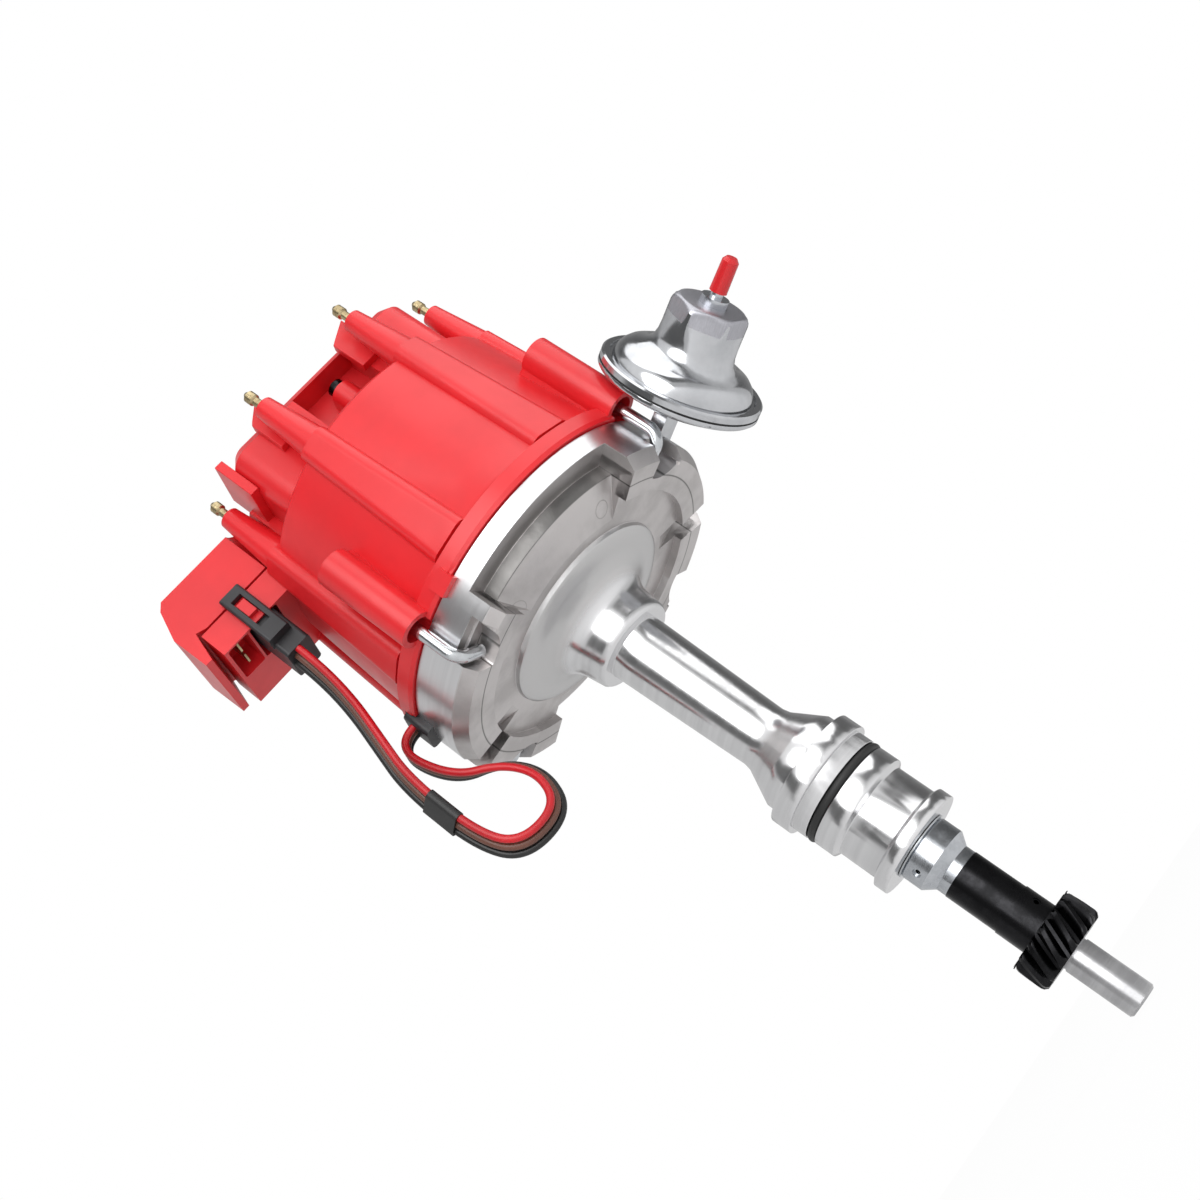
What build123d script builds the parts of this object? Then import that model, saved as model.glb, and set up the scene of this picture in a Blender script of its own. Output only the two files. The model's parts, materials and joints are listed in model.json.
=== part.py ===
from build123d import *
import os
from math import atan2, cos, degrees, radians, sin, tan

# Ignition distributor with a large coil-in-cap top.
# Millimetres. The origin is on the shaft axis, on the block side of the hold-down flange.
# +Z runs up the shaft axis to the cap. -Y is the near side, and the plug sockets hang over -X.
# An azimuth is counted from -Y towards +X, in degrees.

# Running clearance of shafts and pins, clearance of parts that only pass each other, seat gap
RUN = 0.05
GAP = 0.3
SEAT = 0.02

# Pilot and stem of the housing
PILOT_R = 19.8
LAND_R = 20.2
NECK_R = 17.7
FLANGE_R = 22.2
FLANGE_H = 7.6
PILOT_BOTTOM = -38.2
FOOT_H = 4.8
RING_Z = -7.3
RING_WIRE_R = 1.75
RING_PROUD = 0.15
RING_LAND_BOTTOM = -16.7
FLARE_R = 18.8
FLARE_TOP = 12.0
STEM_R = 11.8
STEM_START = 25.7
STEM_TOP_R = 13.2
HUB_R = 18.4
HUB_BOTTOM = 86.0

# Bowl
BOWL_R = 62.5
BOWL_WALL = 4.0
BOWL_UNDER = 110.0
BOWL_FLOOR = 117.5
BOWL_RIM = 134.0
LUG_R = 66.0
LUG_BOTTOM = 106.8
LUG_TOP = 124.0
LUG_DEPTH = 12.0
RECESS_R = 60.5
RECESS_Z = 115.5
RECESS_INNER_R = 44.0
RIB_R = 38.7
BOSS_R = 14.0
BOSS_TOP = 128.0
SHOULDER_R = 17.0
RECESSES = ((0, 30.5), (180, 30.5), (103, 5), (-103, 5))

# Shaft line
SHAFT_R = 6.35
SHAFT_TIP = -122.85
SHAFT_CHAMFER = 0.8
TIP_R = 6.3
RELIEF_R = 5.9
RELIEF_H = 1.0
BUSH_R = 9.5
BUSH_LOW_TOP = -12.0
BUSH_HIGH_BOTTOM = 98.0
HEX_FLATS = 7.94
HEX_DEPTH = 20.0
WASHER_T = 0.5
COLLAR_R = 12.0
COLLAR_H = 8.0
COLLAR_NECK_R = 8.8
COLLAR_TAPER = 4.0
COLLAR_TAIL = 3.6
SLEEVE_R = 9.0
SLEEVE_H = 19.4
GEAR_HUB_R = 9.3
GEAR_HUB_H = 11.0
GEAR_R = 15.5
GEAR_ROOT_R = 12.4
GEAR_H = 12.5
GEAR_TEETH = 14
GEAR_TWIST = 42.0
CROSS_PIN_R = 1.6

# Pickup
PLATE_R = 36.0
PLATE_T = 2.0
MAGNET_T = 3.0
COIL_T = 3.0
POLE_T = 1.6
POLE_TEETH = 8
CORE_R = 16.4
AIR_GAP = 1.0

# Centrifugal advance
BASE_R = 42.0
BASE_T = 2.0
WEIGHT_T = 4.0
WEIGHT_PIVOT_R = 27.0
WEIGHT_PIN_R = 2.0
ROTOR_POST_R = 38.5
CAM_LENGTH = 20.0

# Rotor
ROTOR_R = 43.0
ROTOR_DISC_T = 4.0
ROTOR_TOP = 183.0
BLADE_T = 2.0
BLADE_REACH = 45.2

# Cap
SKIRT_R = 72.3
SKIRT_BOTTOM = 130.5
SKIRT_BAND = 6.0
CAP_LOW_R = 68.6
CAP_HIGH_R = 64.8
CAP_WALL = 3.6
CAP_ROOF_UNDER = 190.0
CAP_SHOULDER = 207.0
TOWERS = 8
TOWER_CIRCLE_R = 62.0
TOWER_R = 6.6
TOWER_TOP = 235.0
COIL_WELL = (66.0, 60.0)
COIL_WELL_FLOOR = 196.0
TERMINAL_R = 2.9
TERMINAL_STAND = 8.6

# Latches, at four azimuths
LATCH_AZ = (-47.5, 47.5, 132.5, -132.5)
LATCH_CIRCLE_R = 74.0
LATCH_ROD_R = 2.4
LATCH_TUBE_R = 7.4
LATCH_TUBE_TOP = 172.0
LATCH_HOOK = 12.5
LATCH_HOOK_Z = 112.4
LATCH_BEND_R = 5.5
HOOK_SWEEP = LATCH_HOOK + 2.2
HOOK_SLOT_HALF = LATCH_ROD_R + 1.4

# Coil and its cover
COVER_HALF = 46.0
COVER_TOP = 245.0
COVER_CORNER_R = 9.0
COVER_CHAMFER = (4.0, 8.0)
BOX_HALF = 21.5
BOX_TOP = 232.0
BOX_BOTTOM = 210.0
BOX_REACH = 101.0
SOCKET_BOTTOM = 196.5

# Vacuum advance, on an axis beside the shaft
VAC_AZ = 42.5
VAC_OFFSET = 22.0
VAC_Z = 120.5
VAC_DISC = 88.4
VAC_R = 31.0
VAC_ROD_R = 1.4
VAC_TRAVEL = 4.2
HEX_NECK_FLATS = 25.5
HEX_NECK_TOP = 31.0
CROSS_PIN_TURN = 30.0

# Screws of the coil cover, in a pocket on the near side and one on the far side
POCKET_X = (-12.0, 17.0)
POCKET_Y = 34.0
POCKET_TOP = 238.0
SCREW_X = 4.0
SCREW_Y = 40.0
SCREW_POINTS = ((SCREW_X, -SCREW_Y), (SCREW_X, SCREW_Y))
SCREW_R = 2.0
SCREW_SEAT = 228.0
SCREW_HEAD_R = 3.6
SCREW_HEAD_H = 3.6

# Hood over the sockets, blades, index tab, and the electric parts in the bowl
HOOD_PROFILE = (
    (-45, BOX_TOP),
    (-98, BOX_TOP),
    (-101, BOX_TOP - 3),
    (-106, 216),
    (-105.5, 199),
    (-102.5, 199),
    (-99, 211.5),
    (-95, BOX_BOTTOM),
    (-45, BOX_BOTTOM),
)
BLADE_X = -92.0
BLADE_Y = (-14.0, -5.0)
INDEX_AZ = -32.6
MODULE_R = (37.2, 52.6)
MODULE_Y = (MODULE_R[0] + MODULE_R[1]) / 2
CONDENSER_AZ = -120.0

# Harness
WIRE_R = 1.5
WIRE_STEP = 3.3
WIRE_TUCK = 1.6
PLUG_X = (-84.6, -73.4)
PLUG_Y = (-20.0, -2.0)
PLUG_BOTTOM = 178.0
GROMMET_OUT = 74.0

os.makedirs("parts", exist_ok=True)


def at(radius, azimuth, height):
    """Point at a radius and azimuth about the shaft axis."""
    return Vector(radius * sin(radians(azimuth)), -radius * cos(radians(azimuth)), height)


def radial_plane(azimuth):
    """Plane through the shaft axis, with its x outwards at an azimuth and its y up."""
    return Plane(origin=(0, 0, 0), x_dir=at(1, azimuth, 0), z_dir=at(1, azimuth - 90, 0))


def turn(azimuth):
    """Angle from +X of an azimuth, for polar patterns."""
    return azimuth - 90


def save(part, label):
    part.label = label
    export_step(part, f"parts/{label}.step")


def spring(radius, wire_r, height, turns, base, direction=(0, 0, 1)):
    """Wire coil spring along a direction from a point, with a six-sided wire."""
    with BuildPart() as coil:
        with BuildLine() as path:
            Helix(height / turns, height, radius, center=base, direction=direction)
        with BuildSketch(Plane(origin=path.line @ 0, z_dir=path.line % 0)):
            RegularPolygon(wire_r, 6)
        sweep(is_frenet=True)
    return coil.part


def disc(radius, bottom, top, hole=0.0, label=""):
    """Plain round piece about the shaft axis, with a hole if one is given, written as a node."""
    with BuildPart() as piece:
        with BuildSketch(Plane.XY.offset(bottom)):
            Circle(radius)
            if hole:
                Circle(hole, mode=Mode.SUBTRACT)
        extrude(amount=top - bottom)
    save(piece.part, label)


# Housing
with BuildPart() as housing:
    with BuildSketch(Plane.XZ):
        with BuildLine():
            Polyline(
                (BUSH_R, PILOT_BOTTOM),
                (PILOT_R, PILOT_BOTTOM),
                (PILOT_R, PILOT_BOTTOM + FOOT_H),
                (NECK_R, PILOT_BOTTOM + FOOT_H + 1.2),
                (NECK_R, RING_LAND_BOTTOM - 1.2),
                (PILOT_R + 0.1, RING_LAND_BOTTOM),
                (PILOT_R + 0.1, RING_Z - RING_WIRE_R),
                (LAND_R - 2 * RING_WIRE_R + RING_PROUD, RING_Z - RING_WIRE_R),
                (LAND_R - 2 * RING_WIRE_R + RING_PROUD, RING_Z + RING_WIRE_R),
                (LAND_R, RING_Z + RING_WIRE_R),
                (LAND_R, 0),
                (FLANGE_R, 0),
                (FLANGE_R, FLANGE_H),
                (FLARE_R, FLANGE_H),
                (FLARE_R, FLARE_TOP),
                (STEM_R + 0.6, STEM_START - 1.5),
                (STEM_R, STEM_START + 1.5),
                (STEM_TOP_R, HUB_BOTTOM),
                (HUB_R - 0.9, HUB_BOTTOM),
                (HUB_R, HUB_BOTTOM + 1.2),
                (HUB_R + 0.9, 95),
            )
            RadiusArc((HUB_R + 0.9, 95), (HUB_R + 14.5, 106.5), 13.5)
            Polyline(
                (HUB_R + 14.5, 106.5),
                (RIB_R - 1.5, 107.3),
                (RIB_R, 108.2),
                (RIB_R + 0.4, BOWL_UNDER),
                (BOWL_R, BOWL_UNDER),
                (BOWL_R, BOWL_RIM),
                (BOWL_R - BOWL_WALL, BOWL_RIM),
                (BOWL_R - BOWL_WALL, BOWL_FLOOR),
                (SHOULDER_R, BOWL_FLOOR),
                (SHOULDER_R, BOWL_FLOOR + 5.2),
                (BOSS_R, BOWL_FLOOR + 5.2),
                (BOSS_R, BOSS_TOP),
                (BUSH_R, BOSS_TOP),
                (BUSH_R, PILOT_BOTTOM),
            )
        make_face()
    revolve(axis=Axis.Z)
    # Lugs that the latches hook under, cut back on the near and far side and by two small notches
    with BuildSketch(Plane.XZ):
        with BuildLine():
            Polyline(
                (LUG_R - LUG_DEPTH, LUG_BOTTOM),
                (LUG_R - 1, LUG_BOTTOM),
                (LUG_R, LUG_BOTTOM + 1),
                (LUG_R, LUG_TOP),
                (BOWL_R - 1, LUG_TOP),
                (BOWL_R - 1, BOWL_UNDER + 1),
                (LUG_R - LUG_DEPTH, BOWL_UNDER + 1),
                close=True,
            )
        make_face()
    revolve(axis=Axis.Z)
    for centre, half in RECESSES:
        with BuildSketch(radial_plane(centre - half)):
            with BuildLine():
                Polyline(
                    (RECESS_INNER_R, LUG_BOTTOM - 1),
                    (RECESS_INNER_R, BOWL_UNDER),
                    (RECESS_R, RECESS_Z),
                    (RECESS_R, LUG_TOP),
                    (LUG_R + 3, LUG_TOP),
                    (LUG_R + 3, LUG_BOTTOM - 1),
                    close=True,
                )
            make_face()
        revolve(axis=Axis.Z, revolution_arc=2 * half, mode=Mode.SUBTRACT)
    # Pocket in each lug, for the hook at rest and for the quarter turn that frees it
    for azimuth in LATCH_AZ:
        pocket = Plane(origin=at(LATCH_CIRCLE_R, azimuth, LUG_BOTTOM - 1), x_dir=at(-1, azimuth, 0))
        with BuildSketch(pocket):
            Circle(HOOK_SWEEP)
            with Locations((-HOOK_SWEEP / 2, 0)):
                Rectangle(HOOK_SWEEP, 2 * HOOK_SWEEP, mode=Mode.SUBTRACT)
            with Locations((0, HOOK_SLOT_HALF)):
                Rectangle(2 * HOOK_SWEEP, HOOK_SWEEP, align=(Align.CENTER, Align.MIN), mode=Mode.SUBTRACT)
        extrude(amount=LATCH_HOOK_Z + LATCH_ROD_R + GAP - LUG_BOTTOM + 1, mode=Mode.SUBTRACT)
    # Slot for the vacuum rod and the neck of the canister
    slot_plane = Plane(origin=at(VAC_OFFSET, VAC_AZ + 90, VAC_Z), x_dir=(0, 0, 1), z_dir=at(1, VAC_AZ, 0))
    with BuildSketch(slot_plane.offset(45)):
        Rectangle(6.4, 11)
    extrude(amount=30, mode=Mode.SUBTRACT)
    # Slot in the rim for the harness grommet
    with BuildSketch(Plane.YZ.offset(-BOWL_R - 2)):
        with Locations((0, BOWL_RIM - 4.9)):
            Rectangle(12, 10.2)
    extrude(amount=8, mode=Mode.SUBTRACT)
save(housing.part, "housing")

# O-ring in its groove between the two lands
with BuildPart() as housing_oring:
    with BuildSketch(Plane.XZ):
        with Locations((LAND_R - RING_WIRE_R + RING_PROUD, RING_Z)):
            Circle(RING_WIRE_R - SEAT)
    revolve(axis=Axis.Z)
save(housing_oring.part, "housing_oring")

# Bushings, pressed into the two ends of the long bore
disc(BUSH_R, PILOT_BOTTOM, BUSH_LOW_TOP, SHAFT_R + RUN, "lower_bushing")
disc(BUSH_R, BUSH_HIGH_BOTTOM, BOSS_TOP, SHAFT_R + RUN, "upper_bushing")

# Main shaft: a ground tip below a relief under the gear, the hexagon socket for the pump drive
# and cross holes for its pins
WASHER_TOP = PILOT_BOTTOM - 0.25
COLLAR_TOP = WASHER_TOP - WASHER_T
COLLAR_PIN_Z = COLLAR_TOP - COLLAR_H / 2 - 0.6
COLLAR_BOTTOM = COLLAR_TOP - COLLAR_H - COLLAR_TAPER - COLLAR_TAIL
SLEEVE_BOTTOM = COLLAR_BOTTOM - SLEEVE_H
GEAR_TOP = SLEEVE_BOTTOM - GEAR_HUB_H
GEAR_PIN_Z = SLEEVE_BOTTOM - GEAR_HUB_H / 2
RELIEF_TOP = GEAR_TOP - GEAR_H - SEAT
BASE_Z = BOSS_TOP + 10.0
WEIGHT_Z = BASE_Z + BASE_T + GAP
SHAFT_TOP = WEIGHT_Z + WEIGHT_T + 1.5
CROSS_AXIS = at(1, CROSS_PIN_TURN, 0)


def cross_bar(height, reach, radius, hole=0.0):
    """Round bar across the shaft axis at a height, with a bore if one is given."""
    with BuildPart() as bar:
        with BuildSketch(Plane(origin=at(-reach, CROSS_PIN_TURN, height), z_dir=CROSS_AXIS)):
            Circle(radius)
            if hole:
                Circle(hole, mode=Mode.SUBTRACT)
        extrude(amount=2 * reach)
    return bar.part


with BuildPart() as main_shaft:
    with BuildSketch(Plane.XZ):
        with BuildLine():
            Polyline(
                (0, SHAFT_TIP),
                (TIP_R - SHAFT_CHAMFER, SHAFT_TIP),
                (TIP_R, SHAFT_TIP + SHAFT_CHAMFER),
                (TIP_R, RELIEF_TOP - RELIEF_H),
                (RELIEF_R, RELIEF_TOP - RELIEF_H),
                (RELIEF_R, RELIEF_TOP),
                (SHAFT_R, RELIEF_TOP),
                (SHAFT_R, SHAFT_TOP - SHAFT_CHAMFER),
                (SHAFT_R - SHAFT_CHAMFER, SHAFT_TOP),
                (0, SHAFT_TOP),
                close=True,
            )
        make_face()
    revolve(axis=Axis.Z)
    with BuildSketch(Plane.XY.offset(SHAFT_TIP)):
        RegularPolygon(HEX_FLATS / 2, 6, major_radius=False)
    extrude(amount=HEX_DEPTH, mode=Mode.SUBTRACT)
    add(cross_bar(COLLAR_PIN_Z, SHAFT_R + 1, CROSS_PIN_R + SEAT), mode=Mode.SUBTRACT)
    add(cross_bar(GEAR_PIN_Z, SHAFT_R + 1, CROSS_PIN_R + SEAT), mode=Mode.SUBTRACT)
save(main_shaft.part, "main_shaft")

disc(COLLAR_R + 0.6, COLLAR_TOP, WASHER_TOP, SHAFT_R + SEAT, "thrust_washer")

with BuildPart() as shaft_collar:
    with BuildSketch(Plane.XZ):
        with BuildLine():
            Polyline(
                (SHAFT_R + SEAT, COLLAR_TOP),
                (COLLAR_R - 0.6, COLLAR_TOP),
                (COLLAR_R, COLLAR_TOP - 0.6),
                (COLLAR_R, COLLAR_TOP - COLLAR_H),
                (COLLAR_NECK_R, COLLAR_TOP - COLLAR_H - COLLAR_TAPER),
                (COLLAR_NECK_R, COLLAR_BOTTOM),
                (SHAFT_R + SEAT, COLLAR_BOTTOM),
                close=True,
            )
        make_face()
    revolve(axis=Axis.Z)
    # Wrench flats on the tail
    for side in (0, 60, 120):
        for face in (1, -1):
            flat = Plane(origin=at(face * (COLLAR_NECK_R - 0.35), side, COLLAR_BOTTOM), x_dir=(0, 0, 1),
                         z_dir=at(face, side, 0))
            with BuildSketch(flat):
                Rectangle(2 * COLLAR_TAIL, 14)
            extrude(amount=2, mode=Mode.SUBTRACT)
    add(cross_bar(COLLAR_PIN_Z, COLLAR_R + 1, CROSS_PIN_R + SEAT), mode=Mode.SUBTRACT)
save(shaft_collar.part, "shaft_collar")
save(cross_bar(COLLAR_PIN_Z, COLLAR_R - 1.0, CROSS_PIN_R, CROSS_PIN_R - 0.7), "collar_pin")

disc(SLEEVE_R, SLEEVE_BOTTOM, COLLAR_BOTTOM, SHAFT_R + SEAT, "spacer_sleeve")

# Helical drive gear with its hub
with BuildPart() as drive_gear:
    with BuildSketch(Plane.XY.offset(GEAR_TOP - GEAR_H)) as teeth:
        Circle(GEAR_ROOT_R)
        tooth_half = 180 / GEAR_TEETH
        for tooth in range(GEAR_TEETH):
            centre = tooth * 360 / GEAR_TEETH
            root = [at(GEAR_ROOT_R - 0.3, centre + side * 0.62 * tooth_half, 0) for side in (-1, 1)]
            tip = [at(GEAR_R, centre + side * 0.27 * tooth_half, 0) for side in (1, -1)]
            with BuildLine():
                Polyline(root[0], root[1], tip[0], tip[1], close=True)
            make_face()
    twisted = Solid.extrude_linear_with_rotation(
        teeth.sketch.face(), (0, 0, GEAR_TOP - GEAR_H), (0, 0, GEAR_H), GEAR_TWIST
    )
    add(twisted)
    with BuildSketch(Plane.XY.offset(GEAR_TOP)):
        Circle(GEAR_HUB_R)
    extrude(amount=GEAR_HUB_H)
    with BuildSketch(Plane.XZ):
        with BuildLine():
            Polyline(
                (GEAR_R - 1.4, GEAR_TOP - GEAR_H - 0.5),
                (GEAR_R + 1, GEAR_TOP - GEAR_H - 0.5),
                (GEAR_R + 1, GEAR_TOP - GEAR_H + 1.9),
                close=True,
            )
            Polyline(
                (GEAR_R - 1.4, GEAR_TOP + 0.5),
                (GEAR_R + 1, GEAR_TOP + 0.5),
                (GEAR_R + 1, GEAR_TOP - 1.9),
                close=True,
            )
        make_face()
    revolve(axis=Axis.Z, mode=Mode.SUBTRACT)
    with BuildSketch(Plane.XY.offset(GEAR_TOP - GEAR_H - 1)):
        Circle(SHAFT_R + SEAT)
    extrude(amount=GEAR_H + GEAR_HUB_H + 2, mode=Mode.SUBTRACT)
    add(cross_bar(GEAR_PIN_Z, GEAR_HUB_R + 1, CROSS_PIN_R + SEAT), mode=Mode.SUBTRACT)
save(drive_gear.part, "drive_gear")
save(cross_bar(GEAR_PIN_Z, GEAR_HUB_R - 0.3, CROSS_PIN_R, CROSS_PIN_R - 0.7), "gear_pin")

# Pickup: a plate that turns on the boss, a magnet, a coil and a toothed pole piece, held by screws
PLATE_Z = BOWL_FLOOR + 5.2 + 0.1
MAGNET_Z = PLATE_Z + PLATE_T
COIL_Z = MAGNET_Z + MAGNET_T
POLE_Z = COIL_Z + COIL_T
PICKUP_TURN = 12.0
PIN_R = 1.5
ROD_REST = -VAC_TRAVEL / 2
VAC_LINE = Vector(at(1, VAC_AZ, 0))
VAC_SIDE = Vector(at(1, VAC_AZ + 90, 0))


def on_rod(along, height=VAC_Z):
    """Point on the line of the vacuum rod, counted outwards from beside the shaft."""
    return VAC_LINE * along + VAC_SIDE * VAC_OFFSET + Vector(0, 0, height)


PICKUP_SCREWS = (VAC_AZ + 180, VAC_AZ + 60, VAC_AZ - 60)
SCREW_CIRCLE = 33.2
with BuildPart() as pickup_plate:
    with BuildSketch(Plane.XY.offset(PLATE_Z)):
        Circle(PLATE_R)
        Circle(BOSS_R + RUN, mode=Mode.SUBTRACT)
        with PolarLocations(27, 3, turn(VAC_AZ + 120)):
            SlotOverall(14, 5, rotation=90, mode=Mode.SUBTRACT)
    extrude(amount=PLATE_T)
    with BuildSketch(Plane(origin=on_rod(ROD_REST, PLATE_Z + 0.5), z_dir=(0, 0, -1))):
        Circle(PIN_R)
    extrude(amount=PLATE_Z + 0.5 - VAC_Z + 1.6)
save(pickup_plate.part, "pickup_plate")

disc(30.0, MAGNET_Z, COIL_Z, 20.0, "pickup_magnet")
with BuildPart() as pickup_coil:
    with BuildSketch(Plane.XY.offset(COIL_Z)):
        Circle(30)
        Circle(20, mode=Mode.SUBTRACT)
    extrude(amount=COIL_T)
    fillet(pickup_coil.edges().filter_by(GeomType.CIRCLE).group_by(Axis.Z)[-1], 0.8)
save(pickup_coil.part, "pickup_coil")

with BuildPart() as pole_piece:
    with BuildSketch(Plane.XY.offset(POLE_Z)):
        Circle(PLATE_R - 1)
        Circle(CORE_R + AIR_GAP + 3, mode=Mode.SUBTRACT)
        with PolarLocations(CORE_R + AIR_GAP, POLE_TEETH, turn(22.5)):
            Rectangle(6, 3.2, align=(Align.MIN, Align.CENTER))
    extrude(amount=POLE_T)
save(pole_piece.part, "pole_piece")

# Screws with spacer shanks between the plate and the pole piece
with BuildPart() as pickup_screws:
    for azimuth in PICKUP_SCREWS:
        with BuildSketch(Plane(origin=at(SCREW_CIRCLE, azimuth, MAGNET_Z))):
            Circle(1.6)
        extrude(amount=POLE_Z - MAGNET_Z)
        with BuildSketch(Plane(origin=at(SCREW_CIRCLE, azimuth, POLE_Z + POLE_T))):
            Circle(2.6)
        extrude(amount=1.2)
save(pickup_screws.part, "pickup_screws")

disc(BOSS_R + 2.0, PLATE_Z + PLATE_T + 0.1, PLATE_Z + PLATE_T + 0.9, BOSS_R + SEAT, "plate_retainer")

# Centrifugal advance: cam fixed on the shaft, weight base with the timer core running on the shaft
CAM_R = 7.5
POST_AZ = (0, 180)
PIVOT_AZ = (8, 188)
with BuildPart() as timer_core:
    with BuildSketch(Plane.XY.offset(BOSS_TOP + GAP)):
        Circle(CORE_R - 3.6)
        with PolarLocations(CORE_R - 4.6, POLE_TEETH, turn(22.5)):
            Rectangle(4.6, 3.2, align=(Align.MIN, Align.CENTER))
        Circle(SHAFT_R + RUN, mode=Mode.SUBTRACT)
    extrude(amount=POLE_Z + POLE_T - BOSS_TOP)
    with BuildSketch(Plane.XY.offset(BOSS_TOP + GAP)):
        Circle(10.5)
        Circle(SHAFT_R + RUN, mode=Mode.SUBTRACT)
    extrude(amount=BASE_Z - BOSS_TOP - GAP)
save(timer_core.part, "timer_core")

with BuildPart() as weight_base:
    with BuildSketch(Plane.XY.offset(BASE_Z)):
        Circle(BASE_R)
        Circle(SHAFT_R + RUN, mode=Mode.SUBTRACT)
        with PolarLocations(24, 2, turn(90)):
            SlotOverall(16, 7, rotation=90, mode=Mode.SUBTRACT)
    extrude(amount=BASE_T)
    for azimuth in POST_AZ:
        with BuildSketch(Plane(origin=at(ROTOR_POST_R, azimuth - 6, BASE_Z + BASE_T))):
            Circle(3.2)
        extrude(amount=WEIGHT_T + 6)
    for azimuth in PIVOT_AZ:
        with BuildSketch(Plane(origin=at(WEIGHT_PIVOT_R, azimuth, BASE_Z + BASE_T))):
            Circle(WEIGHT_PIN_R)
        extrude(amount=WEIGHT_T + 1.5)
save(weight_base.part, "weight_base")

with BuildPart() as advance_cam:
    with BuildSketch(Plane.XY.offset(WEIGHT_Z)):
        SlotOverall(CAM_LENGTH, 2 * CAM_R + 0.6)
        Circle(SHAFT_R + SEAT, mode=Mode.SUBTRACT)
    extrude(amount=WEIGHT_T)
save(advance_cam.part, "advance_cam")

# Weights: a thick crescent each, from its pivot round one side of the cam
WEIGHT_INNER_R = 13.5
WEIGHT_OUTER_R = 33.0
for label, azimuth in (("weight_a", PIVOT_AZ[0]), ("weight_b", PIVOT_AZ[1])):
    with BuildPart() as weight:
        pivot = at(WEIGHT_PIVOT_R, azimuth, 0)
        with BuildSketch(Plane.XY.offset(WEIGHT_Z)):
            Circle(WEIGHT_OUTER_R)
            Circle(WEIGHT_INNER_R, mode=Mode.SUBTRACT)
            with BuildLine():
                Polyline((0, 0), at(90, azimuth + 6, 0), at(90, azimuth + 80, 0), at(90, azimuth + 152, 0),
                         close=True)
            make_face(mode=Mode.INTERSECT)
            with Locations(pivot):
                Circle(5.5)
                Circle(WEIGHT_PIN_R + RUN, mode=Mode.SUBTRACT)
        extrude(amount=WEIGHT_T)
    save(weight.part, label)

# Springs of the advance, from each post over the weight beside it
SPRING_Z = WEIGHT_Z + WEIGHT_T + 2.5
with BuildPart() as advance_springs:
    for azimuth in POST_AZ:
        post = at(ROTOR_POST_R, azimuth - 6, SPRING_Z)
        line = (at(25, azimuth + 50, SPRING_Z) - post).normalized()
        add(spring(1.7, 0.35, 16.0, 7, post + line * 3.1, line))
save(advance_springs.part, "advance_springs")

# Rotor: a disc on the posts, a raised body, a blade on its top and two screws
DISC_Z = BASE_Z + BASE_T + WEIGHT_T + 6
with BuildPart() as rotor:
    with BuildSketch(Plane.XZ):
        with BuildLine():
            Polyline(
                (0, DISC_Z),
                (ROTOR_R, DISC_Z),
                (ROTOR_R, DISC_Z + ROTOR_DISC_T - 1),
                (ROTOR_R - 1, DISC_Z + ROTOR_DISC_T),
                (22, DISC_Z + ROTOR_DISC_T),
                (18, DISC_Z + 8),
                (14, ROTOR_TOP - 4),
                (14, ROTOR_TOP),
                (0, ROTOR_TOP),
                close=True,
            )
        make_face()
    revolve(axis=Axis.Z)
    with BuildSketch(Plane.XZ.offset(-5)):
        with BuildLine():
            Polyline(
                (10, DISC_Z + 2),
                (ROTOR_R - 4, DISC_Z + 2),
                (ROTOR_R - 1, ROTOR_TOP),
                (10, ROTOR_TOP),
                close=True,
            )
        make_face()
    extrude(amount=10)
    with BuildSketch(Plane.XY.offset(DISC_Z - 1)):
        for azimuth in POST_AZ:
            with Locations(at(ROTOR_POST_R, azimuth - 6, 0)):
                Circle(1.8)
    extrude(amount=ROTOR_DISC_T + 2, mode=Mode.SUBTRACT)
save(rotor.part, "rotor")

with BuildPart() as rotor_blade:
    with BuildSketch(Plane.XY.offset(ROTOR_TOP)):
        with Locations((BLADE_REACH / 2, 0)):
            Rectangle(BLADE_REACH, 7)
        Circle(6)
    extrude(amount=BLADE_T)
save(rotor_blade.part, "rotor_blade")

with BuildPart() as rotor_screws:
    for azimuth in POST_AZ:
        with BuildSketch(Plane(origin=at(ROTOR_POST_R, azimuth - 6, DISC_Z + SEAT))):
            Circle(1.75)
        extrude(amount=ROTOR_DISC_T - SEAT)
        with BuildSketch(Plane(origin=at(ROTOR_POST_R, azimuth - 6, DISC_Z + ROTOR_DISC_T))):
            Circle(3.3)
        extrude(amount=2)
save(rotor_screws.part, "rotor_screws")

# Distributor cap: shell, ridges, towers, latch tubes and the socket block
CAVITY_R = 52.0
CAVITY_TOP_Z = 181.0
PAD_TOP = CAP_SHOULDER + 2.0
TOWER_AZ = [22.5 + 45 * number for number in range(TOWERS)]
SHANK_R = 2.6
SEGMENT_Z = (ROTOR_TOP + 0.5, ROTOR_TOP + 4.5)
SEGMENT_W = 5.0
TUBE_BORE_R = 5.2
TUBE_WEB = (152.0, 156.0)
BRUSH_R = 3.0
BRUSH_BOSS_R = 7.5
MOUTH_TOP = 207.5
MOUTH_X = (-97.0, -87.0)
MOUTH_Y = (-20.5, 1.5)
PLUG_CAVITY_X = (-86.0, -72.0)


def block(x_range, y_range, z_range, radius=0.0):
    """Box between limits along X, Y and Z, with round upright edges if a radius is given."""
    centre = ((x_range[0] + x_range[1]) / 2, (y_range[0] + y_range[1]) / 2)
    with BuildPart() as box:
        with BuildSketch(Plane.XY.offset(z_range[0])):
            with Locations(centre):
                if radius:
                    RectangleRounded(x_range[1] - x_range[0], y_range[1] - y_range[0], radius)
                else:
                    Rectangle(x_range[1] - x_range[0], y_range[1] - y_range[0])
        extrude(amount=z_range[1] - z_range[0])
    return box.part


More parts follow.
